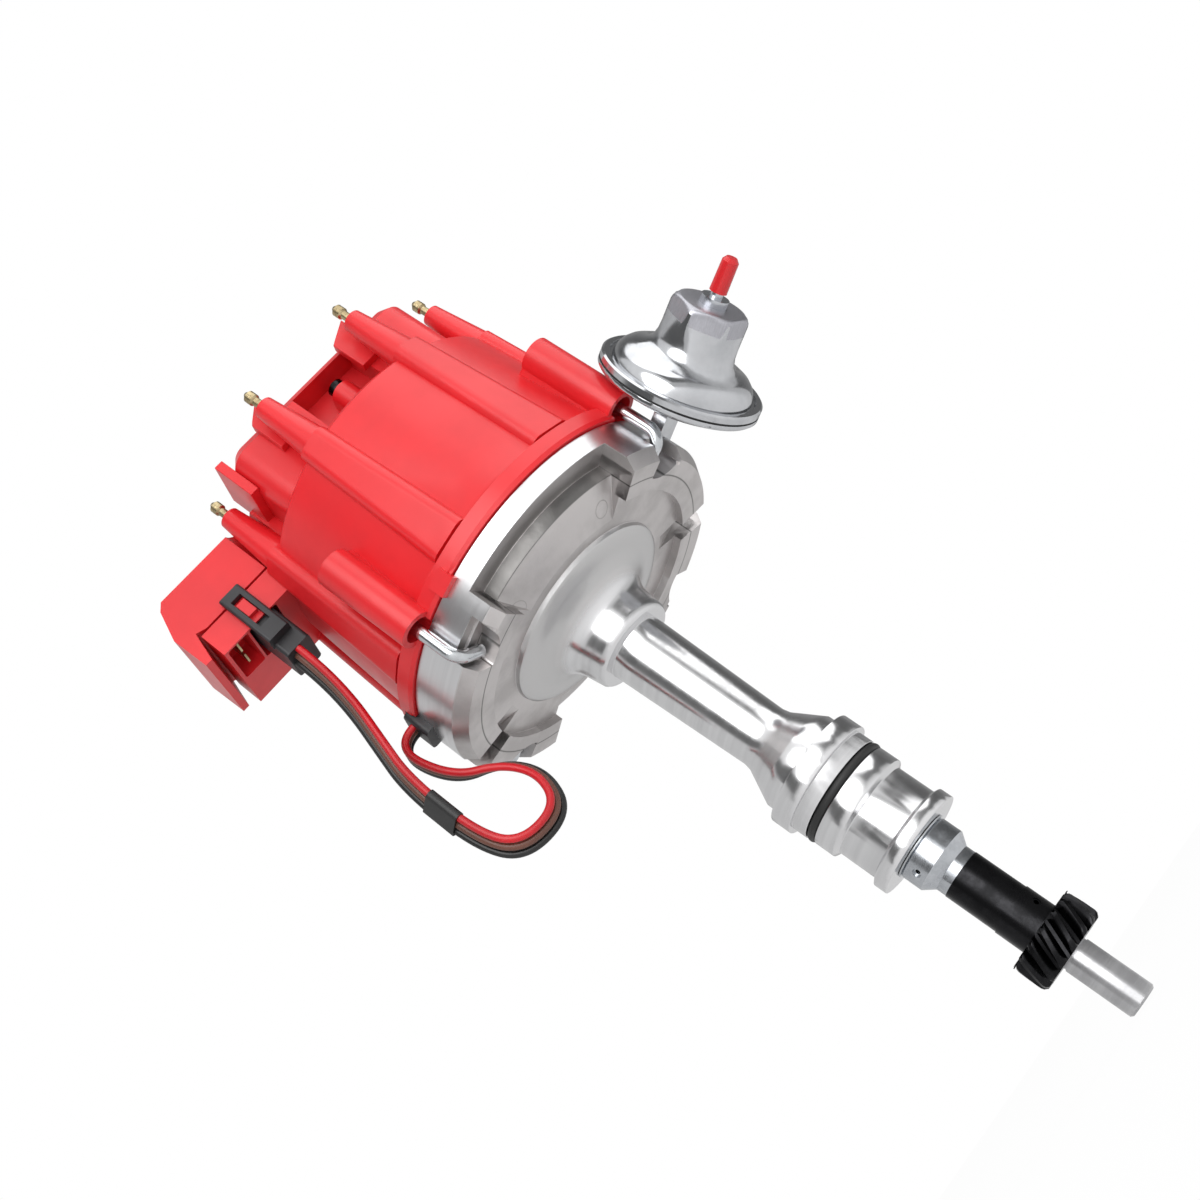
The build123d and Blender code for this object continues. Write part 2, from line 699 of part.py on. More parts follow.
with BuildPart() as cap:
    with BuildSketch(Plane.XZ):
        with BuildLine():
            Polyline(
                (0, BOWL_RIM),
                (BOWL_R + 0.5, BOWL_RIM),
                (BOWL_R + 0.5, SKIRT_BOTTOM),
                (SKIRT_R - 0.6, SKIRT_BOTTOM),
                (SKIRT_R, SKIRT_BOTTOM + 0.6),
                (SKIRT_R, SKIRT_BOTTOM + SKIRT_BAND),
                (CAP_LOW_R + 1, SKIRT_BOTTOM + SKIRT_BAND + 1),
                (CAP_LOW_R, SKIRT_BOTTOM + SKIRT_BAND + 3),
                (CAP_HIGH_R, CAP_SHOULDER - 2),
                (CAP_HIGH_R - 2, CAP_SHOULDER),
                (0, CAP_SHOULDER),
                close=True,
            )
        make_face()
    revolve(axis=Axis.Z)
    for azimuth in TOWER_AZ:
        low = Plane(origin=at(0, 0, SKIRT_BOTTOM + SKIRT_BAND + 1.5), x_dir=at(1, azimuth, 0))
        high = Plane(origin=at(0, 0, CAP_SHOULDER), x_dir=at(1, azimuth, 0))
        with BuildSketch(low):
            with Locations((SKIRT_R - 8.8, 0)):
                RectangleRounded(16, 18.5, 4)
        with BuildSketch(high):
            with Locations((SKIRT_R - 11.4, 0)):
                RectangleRounded(16, 14, 4)
        loft()
    with BuildSketch(Plane.XY.offset(CAP_SHOULDER - 6)):
        with PolarLocations(TOWER_CIRCLE_R, TOWERS, turn(TOWER_AZ[0])):
            Circle(TOWER_R)
    extrude(amount=TOWER_TOP - CAP_SHOULDER + 6)
    for azimuth in LATCH_AZ:
        foot = Plane(origin=at(LATCH_CIRCLE_R, azimuth, SKIRT_BOTTOM + 0.5), x_dir=at(1, azimuth, 0))
        with BuildSketch(foot):
            Circle(LATCH_TUBE_R)
            with Locations((-5.2, 0)):
                Rectangle(10.4, 11)
        extrude(amount=LATCH_TUBE_TOP - SKIRT_BOTTOM - 0.5)
    add(block((-COVER_HALF, COVER_HALF), (-COVER_HALF, COVER_HALF), (CAP_SHOULDER - 1, PAD_TOP),
              COVER_CORNER_R))
    add(block((-98.5, -50), (-BOX_HALF, BOX_HALF), (SOCKET_BOTTOM, PAD_TOP)))
    # Cavity
    with BuildSketch(Plane.XZ):
        with BuildLine():
            Polyline(
                (0, BOWL_RIM - 1),
                (BOWL_R - BOWL_WALL + 0.7, BOWL_RIM - 1),
                (BOWL_R - BOWL_WALL + 0.7, BOWL_RIM + 3),
                (CAP_LOW_R - CAP_WALL, BOWL_RIM + 3),
                (CAP_HIGH_R - CAP_WALL + 0.8, CAVITY_TOP_Z - 8),
                (CAVITY_R, CAVITY_TOP_Z),
                (CAVITY_R, CAP_ROOF_UNDER),
                (0, CAP_ROOF_UNDER),
                close=True,
            )
        make_face()
    revolve(axis=Axis.Z, mode=Mode.SUBTRACT)
    with BuildSketch(Plane.XY.offset(CAP_ROOF_UNDER - 3)):
        Circle(BRUSH_BOSS_R)
    extrude(amount=4)
    with BuildSketch(Plane.XY.offset(CAP_ROOF_UNDER - 4)):
        Circle(BRUSH_R + RUN)
    extrude(amount=20, mode=Mode.SUBTRACT)
    with BuildSketch(Plane.XY.offset(COIL_WELL_FLOOR)):
        RectangleRounded(*COIL_WELL, 4)
    extrude(amount=PAD_TOP - COIL_WELL_FLOOR + 1, mode=Mode.SUBTRACT)
    # Seats of the terminals
    with BuildSketch(Plane.XY.offset(SEGMENT_Z[0])):
        with PolarLocations(TOWER_CIRCLE_R, TOWERS, turn(TOWER_AZ[0])):
            Circle(SHANK_R + SEAT)
    extrude(amount=TOWER_TOP - SEGMENT_Z[0] + 1, mode=Mode.SUBTRACT)
    with BuildSketch(Plane.XY.offset(SEGMENT_Z[0])):
        with PolarLocations(CAVITY_R - 2, TOWERS, turn(TOWER_AZ[0])):
            Rectangle(TOWER_CIRCLE_R - CAVITY_R + 2, SEGMENT_W, align=(Align.MIN, Align.CENTER))
    extrude(amount=SEGMENT_Z[1] - SEGMENT_Z[0], mode=Mode.SUBTRACT)
    # Bores of the latch tubes, with a web between, and their sloped tops
    for azimuth in LATCH_AZ:
        for low, high, radius in (
            (SKIRT_BOTTOM, TUBE_WEB[0], TUBE_BORE_R),
            (TUBE_WEB[0], TUBE_WEB[1], LATCH_ROD_R + RUN),
            (TUBE_WEB[1], LATCH_TUBE_TOP + 1, TUBE_BORE_R),
        ):
            with BuildSketch(Plane(origin=at(LATCH_CIRCLE_R, azimuth, low))):
                Circle(radius)
            extrude(amount=high - low, mode=Mode.SUBTRACT)
    # Cavities for the plug and for the empty socket, seats of the screws, and the notch for the grommet
    add(block(MOUTH_X, MOUTH_Y, (SOCKET_BOTTOM - 1, MOUTH_TOP), 1.0), mode=Mode.SUBTRACT)
    add(block(PLUG_CAVITY_X, MOUTH_Y, (SOCKET_BOTTOM - 1, PAD_TOP - 1), 1.0), mode=Mode.SUBTRACT)
    for y in BLADE_Y:
        add(block((BLADE_X - 0.4, BLADE_X + 0.4), (y - 3.15, y + 3.15), (MOUTH_TOP - 1, PAD_TOP - 0.5)),
            mode=Mode.SUBTRACT)
    with BuildSketch(Plane.XY.offset(PAD_TOP - 9)):
        with Locations(*SCREW_POINTS):
            Circle(SCREW_R + SEAT)
    extrude(amount=10, mode=Mode.SUBTRACT)
    add(block((-76, -60), (-7.6, 7.6), (SKIRT_BOTTOM - 1, BOWL_RIM + 0.4)), mode=Mode.SUBTRACT)
    # Index tab on the rim, and the catch of the plug
    tab = Plane(origin=at(72, INDEX_AZ, SKIRT_BOTTOM - 3), x_dir=at(1, INDEX_AZ, 0))
    with BuildSketch(tab):
        Rectangle(3, 8)
    extrude(amount=6.5)
    add(block((-82.3, -78.2), (-BOX_HALF - 2.2, -BOX_HALF + 1), (199, 206)))
save(cap.part, "cap")

# Terminals: a stud with a ball tip on a shank, and a segment that reaches into the cavity
NECK_Z = TOWER_TOP + TERMINAL_STAND - 3.6
with BuildPart() as cap_terminals:
    with BuildSketch(Plane.XZ):
        with BuildLine():
            Polyline(
                (TOWER_CIRCLE_R, SEGMENT_Z[0]),
                (TOWER_CIRCLE_R + SHANK_R, SEGMENT_Z[0]),
                (TOWER_CIRCLE_R + SHANK_R, TOWER_TOP),
                (TOWER_CIRCLE_R + TERMINAL_R, TOWER_TOP),
                (TOWER_CIRCLE_R + TERMINAL_R, NECK_Z - 1.4),
                (TOWER_CIRCLE_R + TERMINAL_R - 0.7, NECK_Z - 0.5),
                (TOWER_CIRCLE_R + TERMINAL_R - 0.7, NECK_Z + 0.3),
                (TOWER_CIRCLE_R + TERMINAL_R, NECK_Z + 1.2),
                (TOWER_CIRCLE_R + TERMINAL_R, NECK_Z + 2.2),
                (TOWER_CIRCLE_R + TERMINAL_R - 1.2, NECK_Z + 3.6),
                (TOWER_CIRCLE_R, NECK_Z + 3.6),
                close=True,
            )
        make_face()
    revolve(axis=Axis((TOWER_CIRCLE_R, 0, 0), (0, 0, 1)))
    add(block((ROTOR_R + 4.0, TOWER_CIRCLE_R), (-SEGMENT_W / 2, SEGMENT_W / 2), SEGMENT_Z))
one_terminal = cap_terminals.part
with BuildPart() as all_terminals:
    for azimuth in TOWER_AZ:
        add(one_terminal.rotate(Axis.Z, turn(azimuth)))
save(all_terminals.part, "cap_terminals")

# Carbon brush and its spring
disc(BRUSH_R, ROTOR_TOP + BLADE_T + 0.2, CAP_ROOF_UNDER + 1.5, label="carbon_brush")
save(spring(2.2, 0.35, 3.8, 4, (0, 0, CAP_ROOF_UNDER + 1.85)), "brush_spring")

# Ignition coil: a laminated frame with two windows and the winding on its middle leg
CORE_HALF = (30.0, 11.0)
WINDOW_X = (9.0, 22.0)
WINDOW_Z = (COIL_WELL_FLOOR + 8, COIL_WELL_FLOOR + 30)
CORE_TOP = COIL_WELL_FLOOR + 37
with BuildPart() as coil_core:
    add(block((-CORE_HALF[0], CORE_HALF[0]), (-CORE_HALF[1], CORE_HALF[1]), (COIL_WELL_FLOOR, CORE_TOP)))
    for side in (1, -1):
        window = sorted((side * WINDOW_X[0], side * WINDOW_X[1]))
        add(block(window, (-20, 20), WINDOW_Z), mode=Mode.SUBTRACT)
save(coil_core.part, "coil_core")
with BuildPart() as coil_winding:
    add(block((-WINDOW_X[1] + GAP, WINDOW_X[1] - GAP), (-25, 25), WINDOW_Z, 5))
    add(block((-WINDOW_X[0] - GAP, WINDOW_X[0] + GAP), (-CORE_HALF[1] - GAP, CORE_HALF[1] + GAP),
              (WINDOW_Z[0] - 1, WINDOW_Z[1] + 1)), mode=Mode.SUBTRACT)
save(coil_winding.part, "coil_winding")

# Coil cover with the pockets of its screws and the hood over the sockets
with BuildPart() as coil_cover:
    with BuildSketch(Plane.XY.offset(PAD_TOP)):
        RectangleRounded(2 * COVER_HALF, 2 * COVER_HALF, COVER_CORNER_R)
    extrude(amount=COVER_TOP - COVER_CHAMFER[1] - PAD_TOP)
    with BuildSketch(Plane.XY.offset(COVER_TOP - COVER_CHAMFER[1])):
        RectangleRounded(2 * COVER_HALF, 2 * COVER_HALF, COVER_CORNER_R)
    extrude(amount=COVER_CHAMFER[1], taper=degrees(atan2(*COVER_CHAMFER)))
    with BuildSketch(Plane.XZ.offset(-BOX_HALF)):
        with BuildLine():
            Polyline(*HOOD_PROFILE, close=True)
        make_face()
    extrude(amount=2 * BOX_HALF)
    with BuildSketch(Plane.XY.offset(BOX_BOTTOM - 1)):
        with PolarLocations(TOWER_CIRCLE_R, 2, turn(TOWER_AZ[5]), 45, endpoint=True):
            Circle(TOWER_R + GAP)
    extrude(amount=BOX_TOP - BOX_BOTTOM + 2, mode=Mode.SUBTRACT)
    # Inside, with walls left round the two pockets
    add(block((-COVER_HALF + 3, COVER_HALF - 3), (-POCKET_Y + 3, POCKET_Y - 3), (PAD_TOP - 1, COVER_TOP - 4),
              6), mode=Mode.SUBTRACT)
    for side in (1, -1):
        beside = sorted((side * (POCKET_Y - 10), side * (COVER_HALF - 3)))
        add(block((-COVER_HALF + 3, POCKET_X[0] - 3), beside, (PAD_TOP - 1, COVER_TOP - 9), 3),
            mode=Mode.SUBTRACT)
        add(block((POCKET_X[1] + 3, COVER_HALF - 3), beside, (PAD_TOP - 1, COVER_TOP - 9), 3),
            mode=Mode.SUBTRACT)
        deep = sorted((side * POCKET_Y, side * (COVER_HALF + 1)))
        add(block(POCKET_X, deep, (PAD_TOP - 1, POCKET_TOP)), mode=Mode.SUBTRACT)
        with BuildSketch(Plane.XY.offset(PAD_TOP)):
            with Locations((SCREW_X, side * SCREW_Y)):
                Circle(5.0)
            with Locations((SCREW_X, side * POCKET_Y)):
                Rectangle(10, 2 * (SCREW_Y - POCKET_Y))
        extrude(amount=SCREW_SEAT - PAD_TOP)
    with BuildSketch(Plane.XY.offset(PAD_TOP)):
        with Locations(*SCREW_POINTS):
            Circle(SCREW_R + SEAT)
    extrude(amount=SCREW_SEAT - PAD_TOP, mode=Mode.SUBTRACT)
save(coil_cover.part, "coil_cover")

with BuildPart() as cover_screws:
    with BuildSketch(Plane.XY.offset(PAD_TOP - 9)):
        with Locations(*SCREW_POINTS):
            Circle(SCREW_R)
    extrude(amount=SCREW_SEAT - PAD_TOP + 9)
    with BuildSketch(Plane.XY.offset(SCREW_SEAT)):
        with Locations(*SCREW_POINTS):
            Circle(SCREW_HEAD_R)
    extrude(amount=SCREW_HEAD_H)
    with BuildSketch(Plane.XY.offset(SCREW_SEAT + SCREW_HEAD_H - 1.8)):
        with Locations(*SCREW_POINTS):
            RegularPolygon(2.0, 6)
    extrude(amount=3, mode=Mode.SUBTRACT)
save(cover_screws.part, "cover_screws")

with BuildPart() as connector_blades:
    for y in BLADE_Y:
        add(block((BLADE_X - 0.4, BLADE_X + 0.4), (y - 3.15, y + 3.15), (SOCKET_BOTTOM + 2, PAD_TOP - 0.5)))
save(connector_blades.part, "connector_blades")

# Latches: a slotted head in the tube, a straight rod and a hook that turns under the lug
HEAD_Z = (166.0, 169.0)
for number, azimuth in enumerate(LATCH_AZ, start=1):
    side_plane = radial_plane(azimuth)
    with BuildPart() as latch:
        with BuildLine() as wire:
            FilletPolyline(
                at(LATCH_CIRCLE_R, azimuth, HEAD_Z[0]),
                at(LATCH_CIRCLE_R, azimuth, LATCH_HOOK_Z),
                at(LATCH_CIRCLE_R - LATCH_HOOK, azimuth, LATCH_HOOK_Z),
                radius=LATCH_BEND_R,
            )
        with BuildSketch(Plane(origin=at(LATCH_CIRCLE_R, azimuth, HEAD_Z[0]), z_dir=(0, 0, -1))):
            Circle(LATCH_ROD_R)
        sweep()
        with BuildSketch(Plane(origin=at(LATCH_CIRCLE_R, azimuth, HEAD_Z[0]), x_dir=at(1, azimuth, 0))):
            Circle(TUBE_BORE_R - 0.4)
        extrude(amount=HEAD_Z[1] - HEAD_Z[0])
        with BuildSketch(Plane(origin=at(LATCH_CIRCLE_R, azimuth, HEAD_Z[1] - 1.6), x_dir=at(1, azimuth, 0))):
            Rectangle(12, 1.6)
        extrude(amount=3, mode=Mode.SUBTRACT)
    save(latch.part, f"latch_{number}")

with BuildPart() as latch_springs:
    for azimuth in LATCH_AZ:
        foot = at(LATCH_CIRCLE_R, azimuth, TUBE_WEB[1] + 0.5)
        add(spring(3.6, 0.5, HEAD_Z[0] - TUBE_WEB[1] - 1.3, 5, foot))
save(latch_springs.part, "latch_springs")

# Module and condenser on the floor of the bowl
with BuildPart() as ignition_module:
    add(block((-22, 22), (MODULE_R[0], MODULE_R[1]), (BOWL_FLOOR, BOWL_FLOOR + 9), 3))
    add(block((-16, 16), (MODULE_R[0] + 3, MODULE_R[1] - 3), (BOWL_FLOOR + 8, BOWL_FLOOR + 11), 2))
    with BuildSketch(Plane.XY.offset(BOWL_FLOOR)):
        with Locations((-18.8, MODULE_Y), (18.8, MODULE_Y)):
            Circle(1.6 + SEAT)
    extrude(amount=12, mode=Mode.SUBTRACT)
save(ignition_module.part, "ignition_module")
with BuildPart() as module_screws:
    with BuildSketch(Plane.XY.offset(BOWL_FLOOR)):
        with Locations((-18.8, MODULE_Y), (18.8, MODULE_Y)):
            Circle(1.6)
    extrude(amount=9)
    with BuildSketch(Plane.XY.offset(BOWL_FLOOR + 9)):
        with Locations((-18.8, MODULE_Y), (18.8, MODULE_Y)):
            Circle(2.8)
    extrude(amount=1.8)
save(module_screws.part, "module_screws")
with BuildPart() as condenser:
    lying = Plane(origin=at(47.5, CONDENSER_AZ, BOWL_FLOOR + 7) - at(15, CONDENSER_AZ + 90, 0),
                  z_dir=at(1, CONDENSER_AZ + 90, 0))
    with BuildSketch(lying):
        Circle(7)
    extrude(amount=30)
    seat = Plane(origin=at(47.5, CONDENSER_AZ, BOWL_FLOOR), x_dir=at(1, CONDENSER_AZ, 0))
    with BuildSketch(seat):
        Rectangle(16, 10)
    extrude(amount=4)
save(condenser.part, "condenser")

# Vacuum advance: rod, housing halves, diaphragm, nipple with its cap
axis_plane = Plane(origin=on_rod(VAC_DISC), x_dir=VAC_LINE, z_dir=VAC_SIDE)
vac_axis = Axis(on_rod(0), VAC_LINE)
NECK_END = -34.4
with BuildPart() as canister_base:
    with BuildSketch(axis_plane):
        with BuildLine():
            Polyline(
                (-0.4, VAC_R),
                (-1.8, VAC_R),
                (-2.6, VAC_R - 0.8),
                (-2.6, VAC_R - 3.5),
                (-4.6, VAC_R - 5.5),
                (-6.4, 19.6),
                (-7.4, 14.5),
                (-9.2, 11.5),
                (-9.2, VAC_ROD_R + 0.4),
                (-8, VAC_ROD_R + 0.4),
                (-8, 11.0),
                (-6.4, 13.8),
                (-5.2, 19),
                (-3.6, 24),
                (-0.4, 24),
                close=True,
            )
        make_face()
    revolve(axis=vac_axis)
    with BuildSketch(Plane(origin=on_rod(VAC_DISC - 9), x_dir=(0, 0, 1), z_dir=-VAC_LINE)):
        Rectangle(5.6, 10)
        Rectangle(3.6, 7.6, mode=Mode.SUBTRACT)
    extrude(amount=-NECK_END - 9)
    with BuildSketch(Plane(origin=on_rod(46, BOWL_FLOOR), x_dir=VAC_LINE)):
        Rectangle(20, 10)
        with Locations((-5, 0)):
            RectangleRounded(9, 26, 3)
        with Locations((-5, 9), (-5, -9)):
            Circle(1.6 + SEAT, mode=Mode.SUBTRACT)
    extrude(amount=1.2)
save(canister_base.part, "canister_base")
with BuildPart() as canister_screws:
    for height, radius, length in ((BOWL_FLOOR, 1.6, 1.2), (BOWL_FLOOR + 1.2, 2.8, 1.6)):
        with BuildSketch(Plane(origin=on_rod(46, height), x_dir=VAC_LINE)):
            with Locations((-5, 9), (-5, -9)):
                Circle(radius)
        extrude(amount=length)
save(canister_screws.part, "canister_screws")

with BuildPart() as diaphragm:
    with BuildSketch(axis_plane):
        with BuildLine():
            Polyline((-0.4, 15), (-0.4, VAC_R - 0.6), (0.4, VAC_R - 0.6), (0.4, 15), close=True)
        make_face()
    revolve(axis=vac_axis)
save(diaphragm.part, "diaphragm")

with BuildPart() as canister_cover:
    with BuildSketch(axis_plane):
        with BuildLine():
            Polyline(
                (0.4, 25),
                (0.4, VAC_R),
                (1.8, VAC_R),
                (2.6, VAC_R - 0.8),
                (2.6, VAC_R - 3.2),
                (4.2, VAC_R - 4.2),
                (9, VAC_R - 7),
                (13, VAC_R - 12),
                (14.5, 15),
                (HEX_NECK_TOP - 2, 12),
                (HEX_NECK_TOP - 2, 2.4 + SEAT),
                (HEX_NECK_TOP - 3.5, 2.4 + SEAT),
                (HEX_NECK_TOP - 3.5, 10.5),
                (13.2, 10.5),
                (11.8, 17),
                (8, 22.6),
                (3.4, 25),
                close=True,
            )
        make_face()
    revolve(axis=vac_axis)
    with BuildSketch(Plane(origin=on_rod(VAC_DISC + 12.5), x_dir=(0, 0, 1), z_dir=VAC_LINE)):
        RegularPolygon(HEX_NECK_FLATS / 2, 6, major_radius=False)
        Circle(10.5, mode=Mode.SUBTRACT)
    extrude(amount=HEX_NECK_TOP - 16)
    with BuildSketch(Plane(origin=on_rod(VAC_DISC + HEX_NECK_TOP - 3.5), x_dir=(0, 0, 1), z_dir=VAC_LINE)):
        RegularPolygon(HEX_NECK_FLATS / 2, 6, major_radius=False)
        Circle(2.4 + SEAT, mode=Mode.SUBTRACT)
    extrude(amount=3.5, taper=18)
save(canister_cover.part, "canister_cover")

with BuildPart() as nipple:
    with BuildSketch(axis_plane):
        with BuildLine():
            Polyline(
                (HEX_NECK_TOP - 3.5, 1.3),
                (HEX_NECK_TOP - 3.5, 2.4),
                (HEX_NECK_TOP, 2.4),
                (HEX_NECK_TOP, 5.2),
                (HEX_NECK_TOP + 3, 5.2),
                (HEX_NECK_TOP + 3, 2.4),
                (HEX_NECK_TOP + 16, 2.4),
                (HEX_NECK_TOP + 16, 1.3),
                close=True,
            )
        make_face()
    revolve(axis=vac_axis)
save(nipple.part, "nipple")
with BuildPart() as nipple_cap:
    with BuildSketch(axis_plane):
        with BuildLine():
            Polyline(
                (HEX_NECK_TOP + 5, 2.4 + SEAT),
                (HEX_NECK_TOP + 5, 3.3),
                (HEX_NECK_TOP + 16.6, 3.1),
                (HEX_NECK_TOP + 18, 2),
                (HEX_NECK_TOP + 18, 0),
                (HEX_NECK_TOP + 16, 0),
                (HEX_NECK_TOP + 16, 2.4 + SEAT),
                close=True,
            )
        make_face()
    revolve(axis=vac_axis)
save(nipple_cap.part, "nipple_cap")

with BuildPart() as vacuum_rod:
    with BuildSketch(Plane(origin=on_rod(ROD_REST + 2.6), z_dir=VAC_LINE)):
        Circle(VAC_ROD_R)
    extrude(amount=VAC_DISC - ROD_REST - 1.6)
    with BuildSketch(Plane(origin=on_rod(ROD_REST, VAC_Z - 1), x_dir=VAC_SIDE)):
        SlotOverall(7.6, 6.4)
        SlotOverall(2 * PIN_R + 0.5, 2 * PIN_R + 0.1, mode=Mode.SUBTRACT)
    extrude(amount=2)
    with BuildSketch(Plane(origin=on_rod(VAC_DISC + 0.8), z_dir=VAC_LINE)):
        Circle(13)
    extrude(amount=1.2)
save(vacuum_rod.part, "vacuum_rod")
save(spring(8, 0.6, HEX_NECK_TOP - 3.5 - 3.2, 6, on_rod(VAC_DISC + 2.6), VAC_LINE), "vacuum_spring")

# Harness: plug in its socket, grommet in the rim and three wires between them
with BuildPart() as harness_plug:
    add(block(PLUG_X, PLUG_Y, (PLUG_BOTTOM, PAD_TOP - 1.5), 1.5))
    add(block((-85.2, -75.3), (-BOX_HALF - 3.1, -BOX_HALF - GAP), (185, 212), 1.0))
    add(block((-85.2, -75.3), (-BOX_HALF - 2, PLUG_Y[0] + 2), (185, 190)))
    add(block((-82.7, -77.8), (-BOX_HALF - 4, -BOX_HALF + 1), (192, 208)), mode=Mode.SUBTRACT)
save(harness_plug.part, "harness_plug")
with BuildPart() as harness_grommet:
    add(block((-GROMMET_OUT, -66.5), (-7, 7), (122, 133.8), 2.0))
    add(block((-67, -56), (-6, 6), (LUG_TOP, BOWL_RIM)))
save(harness_grommet.part, "harness_grommet")

# Middle of the three wires, from the plug down, round and up to the grommet
WIRE_ROUTE = (
    (-81, -15, PLUG_BOTTOM),
    (-81, -15, 166),
    (-83.5, -15, 147),
    (-88, -14, 130),
    (-92.7, -12.8, 112),
    (-92.7, -12, 80),
    (-86, -12, 64),
    (-66, -11, 63),
    (-59.5, -8.5, 78),
    (-65, -6, 93),
    (-80, -3, 104),
    (-84.8, 0, 129.5),
    (-GROMMET_OUT, 0, 129.5),
)
FLAT_FROM = 10


def run_normal(start, end):
    """Unit normal of a run, in the X-Z plane and to its left."""
    return Vector(start[2] - end[2], 0, end[0] - start[0]).normalized()


def wire_points(lane):
    """Route of one wire, beside the middle one in Y and towards the middle of the loop."""
    normals = [run_normal(start, end) for start, end in zip(WIRE_ROUTE, WIRE_ROUTE[1:])]
    normals = [normals[0]] + normals + [normals[-1]]
    points = []
    for index, point in enumerate(WIRE_ROUTE):
        one = normals[index]
        two = normals[index + 1]
        mitre = (one + two) * (1 / (1 + one.dot(two)))
        tuck = WIRE_TUCK if index < FLAT_FROM else 0
        points.append(Vector(*point) - Vector(0, lane * WIRE_STEP, 0) + mitre * (lane * tuck))
    return points


def bend_radii(points):
    """Radius of the bend at each inner point, as large as the two runs beside it allow."""
    runs = [end - start for start, end in zip(points, points[1:])]
    lengths = [run.length for run in runs]
    # No second bend uses an end run, so it counts twice
    lengths[0] *= 2
    lengths[-1] *= 2
    radii = []
    for index in range(len(runs) - 1):
        half = radians(runs[index].get_angle(runs[index + 1])) / 2
        radii.append(0.45 * min(lengths[index], lengths[index + 1]) / tan(half))
    return radii


for label, lane in (("wire_red", 1), ("wire_brown", 0), ("wire_black", -1)):
    points = wire_points(lane)
    radii = bend_radii(points)
    print(label, [round(radius, 1) for radius in radii])
    with BuildPart() as wire:
        with BuildLine() as path:
            FilletPolyline(*points, radius=radii)
        with BuildSketch(Plane(origin=path.line @ 0, z_dir=path.line % 0)):
            Circle(WIRE_R)
        sweep()
    save(wire.part, label)

# Tape round the straight run of the three wires
tape_line = (Vector(*WIRE_ROUTE[5]) - Vector(*WIRE_ROUTE[4])).normalized()
tape_from = Vector(*WIRE_ROUTE[4]) + tape_line * 9.8
lane_line = Vector(WIRE_TUCK, -WIRE_STEP, 0)
tape_side = lane_line - tape_line * lane_line.dot(tape_line)
with BuildPart() as tape_sleeve:
    with BuildSketch(Plane(origin=tape_from, x_dir=tape_side, z_dir=tape_line)):
        SlotCenterToCenter(2 * tape_side.length, 2 * WIRE_R + 1.2)
        SlotCenterToCenter(2 * tape_side.length, 2 * WIRE_R + 2 * SEAT, mode=Mode.SUBTRACT)
    extrude(amount=14)
save(tape_sleeve.part, "tape_sleeve")
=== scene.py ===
import json
import math

import bmesh
import bpy
from mathutils import Matrix, Vector


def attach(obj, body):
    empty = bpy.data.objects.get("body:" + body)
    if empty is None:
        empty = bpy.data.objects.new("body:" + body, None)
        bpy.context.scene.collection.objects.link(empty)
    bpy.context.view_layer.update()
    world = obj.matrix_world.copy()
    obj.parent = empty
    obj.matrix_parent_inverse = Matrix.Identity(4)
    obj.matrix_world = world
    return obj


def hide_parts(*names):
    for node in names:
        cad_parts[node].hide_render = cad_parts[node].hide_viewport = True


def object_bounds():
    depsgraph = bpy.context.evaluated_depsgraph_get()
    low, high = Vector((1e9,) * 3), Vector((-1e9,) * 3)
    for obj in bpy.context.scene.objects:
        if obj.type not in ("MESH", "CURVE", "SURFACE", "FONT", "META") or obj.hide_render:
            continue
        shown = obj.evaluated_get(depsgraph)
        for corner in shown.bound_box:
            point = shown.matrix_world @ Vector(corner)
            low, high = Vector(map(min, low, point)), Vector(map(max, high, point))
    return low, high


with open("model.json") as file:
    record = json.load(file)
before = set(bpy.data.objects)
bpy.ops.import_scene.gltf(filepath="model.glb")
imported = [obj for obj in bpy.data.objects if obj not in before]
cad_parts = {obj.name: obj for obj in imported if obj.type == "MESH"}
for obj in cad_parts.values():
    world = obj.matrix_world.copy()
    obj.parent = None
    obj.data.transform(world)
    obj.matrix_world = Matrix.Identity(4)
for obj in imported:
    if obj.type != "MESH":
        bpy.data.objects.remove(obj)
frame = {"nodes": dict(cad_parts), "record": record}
cad_box = [list(corner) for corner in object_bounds()]
nodes = frame["nodes"]
scene = bpy.context.scene
MM = 0.001


# Camera: the photograph's viewing angle, from below the cap and with the shaft across the picture

IMAGE_SIDE = 1200
FOCAL_PIXELS = 1558.4
SENSOR = 36.0
CAMERA_AT = Vector((-0.1566, -0.5158, -0.1059))
RIGHT = Vector((0.634, 0.117, -0.764)).normalized()
BACK = Vector((-0.281, -0.886, -0.369))
BACK = (BACK - RIGHT * BACK.dot(RIGHT)).normalized()
UP = BACK.cross(RIGHT)

camera_data = bpy.data.cameras.new("camera")
camera_data.sensor_width = SENSOR
camera_data.lens = FOCAL_PIXELS * SENSOR / IMAGE_SIDE
camera_data.clip_start = 0.01
camera_data.clip_end = 200
camera = bpy.data.objects.new("camera", camera_data)
turned = Matrix((RIGHT, UP, BACK)).transposed().to_4x4()
camera.matrix_world = Matrix.Translation(CAMERA_AT) @ turned
scene.collection.objects.link(camera)
scene.camera = camera


# Node helpers and shared groups of effects


def value_range(tree, value, low, high, to_low, to_high, smooth=False):
    """A Map Range node's result for a value."""
    node = tree.nodes.new("ShaderNodeMapRange")
    node.interpolation_type = "SMOOTHSTEP" if smooth else "LINEAR"
    tree.links.new(value, node.inputs["Value"])
    node.inputs["From Min"].default_value = low
    node.inputs["From Max"].default_value = high
    node.inputs["To Min"].default_value = to_low
    node.inputs["To Max"].default_value = to_high
    return node.outputs["Result"]


